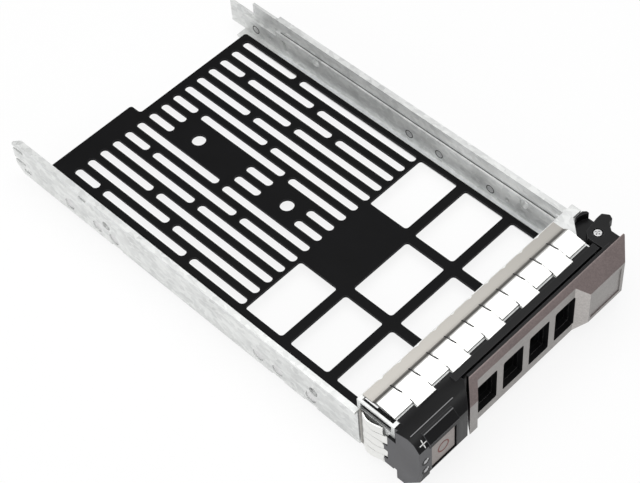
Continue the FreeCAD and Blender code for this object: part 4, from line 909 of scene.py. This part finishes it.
class CADDY_OT_marks(bpy.types.Operator):
    """Add the rings, the plus, the painted highlights along the bezel's edges and the angles' feet, the
    painted shadows along the angles' seams and round the rivets, and the painted shade along the gasket's
    slits
    """

    bl_idname = "caddy.marks"
    bl_label = "Rings and marks"

    def execute(self, context):
        size = sizes()
        white = mark_finish("mark_white", colours().mark)
        dark = mark_finish("lens_surround", (0.006, 0.006, 0.007))
        ring = circle(front_middle("release_button"), ACROSS, UPWARD, size.ring_radius, RING_STEPS)
        line_piece("button_ring", ring, size.ring_line, FORWARD, "button", "button_grey",
                   mark_finish("ring_enamel", colours().ring), True)
        for name in ("activity_light_pipe", "status_light_pipe"):
            part = arc(front_middle(name), ACROSS, UPWARD, size.lens_ring, *LENS_ARC, LENS_STEPS)
            line_piece(name + "_ring", part, size.lens_line, FORWARD, "tray", "bezel_black", dark)
        self.edges()
        self.plus(white)
        self.slit_shades()
        self.rivet_rings()
        self.seams()
        return {"FINISHED"}

    def seams(self):
        """A line of painted shadow along each inner angle's top edge, where it meets its rail, and a line of
        painted highlight along its foot.
        """
        size = sizes()
        shadow = mark_finish("seam_shadow", (0.06, 0.062, 0.065))
        shine = mark_finish("foot_shine", (0.78, 0.80, 0.81))
        for side, outward in (("left", -1), ("right", 1)):
            low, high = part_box(side + "_inner_angle")
            wall = high.x if outward > 0 else low.x
            rear = high.y - size.seam_stop
            foot = low.z + size.angle_sheet
            lines = (
                ("seam", wall - outward * size.seam_shadow_line / 2, high.z, size.seam_shadow_line, shadow),
                ("foot_line", wall - outward * size.foot_inset, foot, size.foot_line, shine),
            )
            for label, x, z, width, finish in lines:
                path = [Vector((x, low.y + (rear - low.y) * step / SEAM_STEPS, z))
                        for step in range(SEAM_STEPS + 1)]
                line_piece("%s_%s" % (side, label), path, width, UPWARD, "tray", "galvanised", finish)

    def rivet_rings(self):
        """A dark ring where each rivet meets the inner angle."""
        size = sizes()
        shadow = mark_finish("rivet_shadow", (0.05, 0.05, 0.052))
        for side, inward in (("left", 1), ("right", -1)):
            for number, (low, high) in enumerate(islands(side + "_rail_rivets")):
                inner = high.x if inward > 0 else low.x
                centre = Vector((inner, (low.y + high.y) / 2, (low.z + high.z) / 2))
                ring = circle(centre, REARWARD, UPWARD, size.rivet_ring, RIVET_STEPS)
                line_piece("%s_rivet_ring_%d" % (side, number + 1), ring, size.rivet_line, ACROSS * inward,
                           "tray", "galvanised", shadow, True)

    def edges(self):
        """Painted highlights along the bezel's crest and the two edges of the hood over the button."""
        size = sizes()
        line = mark_finish("polished_edge", colours().bezel_edge_highlight)
        low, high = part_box("bezel_body")
        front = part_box("activity_light_pipe")[0].y
        left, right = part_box("release_button")[0].x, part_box("release_button")[1].x
        rim = size.hood_rim
        upper, lower = high.z - size.hood_rise, high.z - size.hood_rise - size.hood_drop
        lines = (
            ("crest_edge", low.x + rim, right + 3 * rim, front + size.crest_back, high.z, UPWARD),
            ("hood_upper_edge", left - rim, right + rim, front + size.hood_back, upper, HOOD_FACING),
            ("hood_lower_edge", left - rim, right + rim, front - size.hood_front, lower, HOOD_FACING),
        )
        for name, start, end, y, z, facing in lines:
            path = [Vector((start, y, z)), Vector(((start + end) / 2, y, z)), Vector((end, y, z))]
            line_piece(name, path, size.edge_highlight_line, facing, "tray", "bezel_black", line)

    def plus(self, white):
        """A small plus on the slope over the indicator column."""
        size = sizes()
        low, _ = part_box("activity_light_pipe")
        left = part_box("bezel_body")[0].x
        facing = ACROSS.cross(SLOPE_RUN)
        centre = Vector((left + size.plus_left, low.y, size.slope_low)) + SLOPE_RUN * size.plus_up
        half = size.mark_length / 2
        for name, way in (("plus_across", ACROSS), ("plus_along", SLOPE_RUN)):
            path = [centre - way * half, centre, centre + way * half]
            line_piece(name, path, size.mark_line, facing, "tray", "bezel_black", white)

    def slit_shades(self):
        """At each slit of the top gasket, painted shade: a dark tick near the front and a curved dark line
        along the ramp behind it.
        """
        size = sizes()
        low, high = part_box("top_gasket")
        pitch = (high.x - low.x) / FINGERS
        lift = high.z - low.z - size.spring_sheet
        bend = high.y - size.strip_width
        crest = bend - size.ramp_width
        dark = mark_finish("press_mark_shadow", (0.03, 0.03, 0.032))
        for finger in range(1, FINGERS):
            x = low.x + pitch * finger
            path = []
            for step in range(SLIT_SHADE_STEPS + 1):
                share = step / SLIT_SHADE_STEPS
                rise = min(1.0, share * SLIT_SHADE_REACH)
                slope = max(0.0, share * SLIT_SHADE_REACH - 1) * (bend - crest) / (crest - low.y)
                level = lift * (rise * rise * (3 - 2 * rise) - slope ** SLOPE_CURVE)
                sway = size.press_mark * math.sin(math.pi * share)
                y = bend + (crest - bend) * share * SLIT_SHADE_REACH
                path.append(Vector((x - sway, y, low.z + size.spring_sheet + level)))
            start = low.y + size.finger_step
            ticks = []
            for y in (start + size.tick_length, start + size.tick_length / 2, start):
                share = (crest - y) / (crest - low.y)
                level = lift * (1 - share ** SLOPE_CURVE)
                ticks.append(Vector((x, y, low.z + size.spring_sheet + level)))
            lines = (("slit_tick", ticks, size.mark_line), ("press_mark", path, size.press_mark))
            for name, line, width in lines:
                line_piece("%s_%d" % (name, finger), line, width, UPWARD, "tray", "gasket_steel", dark)


# How much of the floor shows as plain white to the camera and in reflections.
FLOOR_GLOW = 0.86
# Each lamp's name, place and width, and the setting that holds its power.  All point at one place.
LAMPS = (
    ("overhead_lamp", (0.05, 0.05, 0.75), 0.8, "overhead_power"),
    ("front_lamp", (-0.5, -0.7, 0.35), 0.7, "front_power"),
    ("side_lamp", (-0.85, 0.05, 0.3), 0.6, "side_power"),
)
LAMP_AIM = Vector((0, -0.02, 0))


class CADDY_OT_stage(bpy.types.Operator):
    """Set up the floor, the soft studio light and the camera"""

    bl_idname = "caddy.stage"
    bl_label = "Studio"

    def execute(self, context):
        scene = context.scene
        self.floor(scene)
        self.world(scene)
        place = studio()
        for name, spot, width, power in LAMPS:
            self.lamp(scene, name, spot, width, getattr(place, power))
        camera = bpy.data.cameras.new("camera")
        camera.lens = place.lens
        camera.clip_start = 0.01
        holder = bpy.data.objects.new("camera", camera)
        holder.location = place.camera_place
        holder.rotation_euler = place.camera_turn
        scene.collection.objects.link(holder)
        scene.camera = holder
        scene.view_settings.view_transform = "Standard"
        return {"FINISHED"}

    def floor(self, scene):
        """A wide white floor under the caddy, which keeps the caddy's shadow."""
        half = studio().floor_size / 2
        level = CAD_BOX[0][2]
        corners = [(-half, -half, level), (half, -half, level), (half, half, level), (-half, half, level)]
        mesh = bpy.data.meshes.new("floor")
        mesh.from_pydata(corners, [], [(0, 1, 2, 3)])
        finish = Finish("floor_white", 0.9, specular=0.1)
        whites = ((0.3, (0.90, 0.90, 0.90)), (0.7, (0.93, 0.93, 0.93)))
        finish.colour(finish.ramp(finish.noise(6.0, 2.0), whites))
        path = finish.add("ShaderNodeLightPath")
        glow = finish.add("ShaderNodeEmission")
        glow.inputs["Strength"].default_value = 1.0
        seen = finish.add("ShaderNodeMath", operation="ADD", use_clamp=True)
        finish.join(path.outputs["Is Camera Ray"], seen.inputs[0])
        finish.join(path.outputs["Is Glossy Ray"], seen.inputs[1])
        share = finish.add("ShaderNodeMath", operation="MULTIPLY")
        share.inputs[1].default_value = FLOOR_GLOW
        finish.join(seen.outputs[0], share.inputs[0])
        mix = finish.add("ShaderNodeMixShader")
        finish.join(share.outputs[0], mix.inputs["Fac"])
        finish.join(finish.shader.outputs["BSDF"], mix.inputs[1])
        finish.join(glow.outputs["Emission"], mix.inputs[2])
        finish.join(mix.outputs["Shader"], finish.tree.nodes["Material Output"].inputs["Surface"])
        mesh.materials.append(finish.material)
        piece = bpy.data.objects.new("floor", mesh)
        scene.collection.objects.link(piece)

    def world(self, scene):
        """Even white light from all round."""
        world = bpy.data.worlds.new("studio")
        world.use_nodes = True
        back = world.node_tree.nodes["Background"]
        back.inputs["Color"].default_value = (1, 1, 1, 1)
        back.inputs["Strength"].default_value = studio().world_level
        scene.world = world

    def lamp(self, scene, name, place, size, power):
        data = bpy.data.lights.new(name, "AREA")
        data.size = size
        data.energy = power
        lamp = bpy.data.objects.new(name, data)
        lamp.location = place
        lamp.rotation_euler = (LAMP_AIM - Vector(place)).to_track_quat("-Z", "Y").to_euler()
        scene.collection.objects.link(lamp)


class CADDY_PT_panel(bpy.types.Panel):
    """Lists the caddy's operators and their settings"""

    bl_idname = "CADDY_PT_panel"
    bl_label = "Drive Caddy"
    bl_space_type = "VIEW_3D"
    bl_region_type = "UI"
    bl_category = "Drive Caddy"

    def draw(self, context):
        layout = self.layout
        for operator in OPERATORS:
            layout.operator(operator.bl_idname)
        for group in (colours(), sizes(), studio()):
            box = layout.box()
            for name in group.bl_rna.properties.keys():
                if name not in ("rna_type", "name"):
                    box.prop(group, name)


OPERATORS = (
    CADDY_OT_tray,
    CADDY_OT_rails,
    CADDY_OT_front_frame,
    CADDY_OT_gaskets,
    CADDY_OT_bezel,
    CADDY_OT_latch,
    CADDY_OT_handle,
    CADDY_OT_marks,
    CADDY_OT_stage,
)
GROUPS = (
    ("caddy_colours", CaddyColours),
    ("caddy_sizes", CaddySizes),
    ("caddy_studio", CaddyStudio),
)


def register():
    for name, group in GROUPS:
        bpy.utils.register_class(group)
        setattr(bpy.types.Scene, name, bpy.props.PointerProperty(type=group))
    for operator in OPERATORS:
        bpy.utils.register_class(operator)
    bpy.utils.register_class(CADDY_PT_panel)


def unregister():
    bpy.utils.unregister_class(CADDY_PT_panel)
    for operator in reversed(OPERATORS):
        bpy.utils.unregister_class(operator)
    for name, group in reversed(GROUPS):
        delattr(bpy.types.Scene, name)
        bpy.utils.unregister_class(group)


def main():
    register()
    bpy.ops.caddy.tray()
    bpy.ops.caddy.rails()
    bpy.ops.caddy.front_frame()
    bpy.ops.caddy.gaskets()
    bpy.ops.caddy.bezel()
    bpy.ops.caddy.latch()
    bpy.ops.caddy.handle()
    bpy.ops.caddy.marks()
    bpy.ops.caddy.stage()


if __name__ == "__main__":
    main()
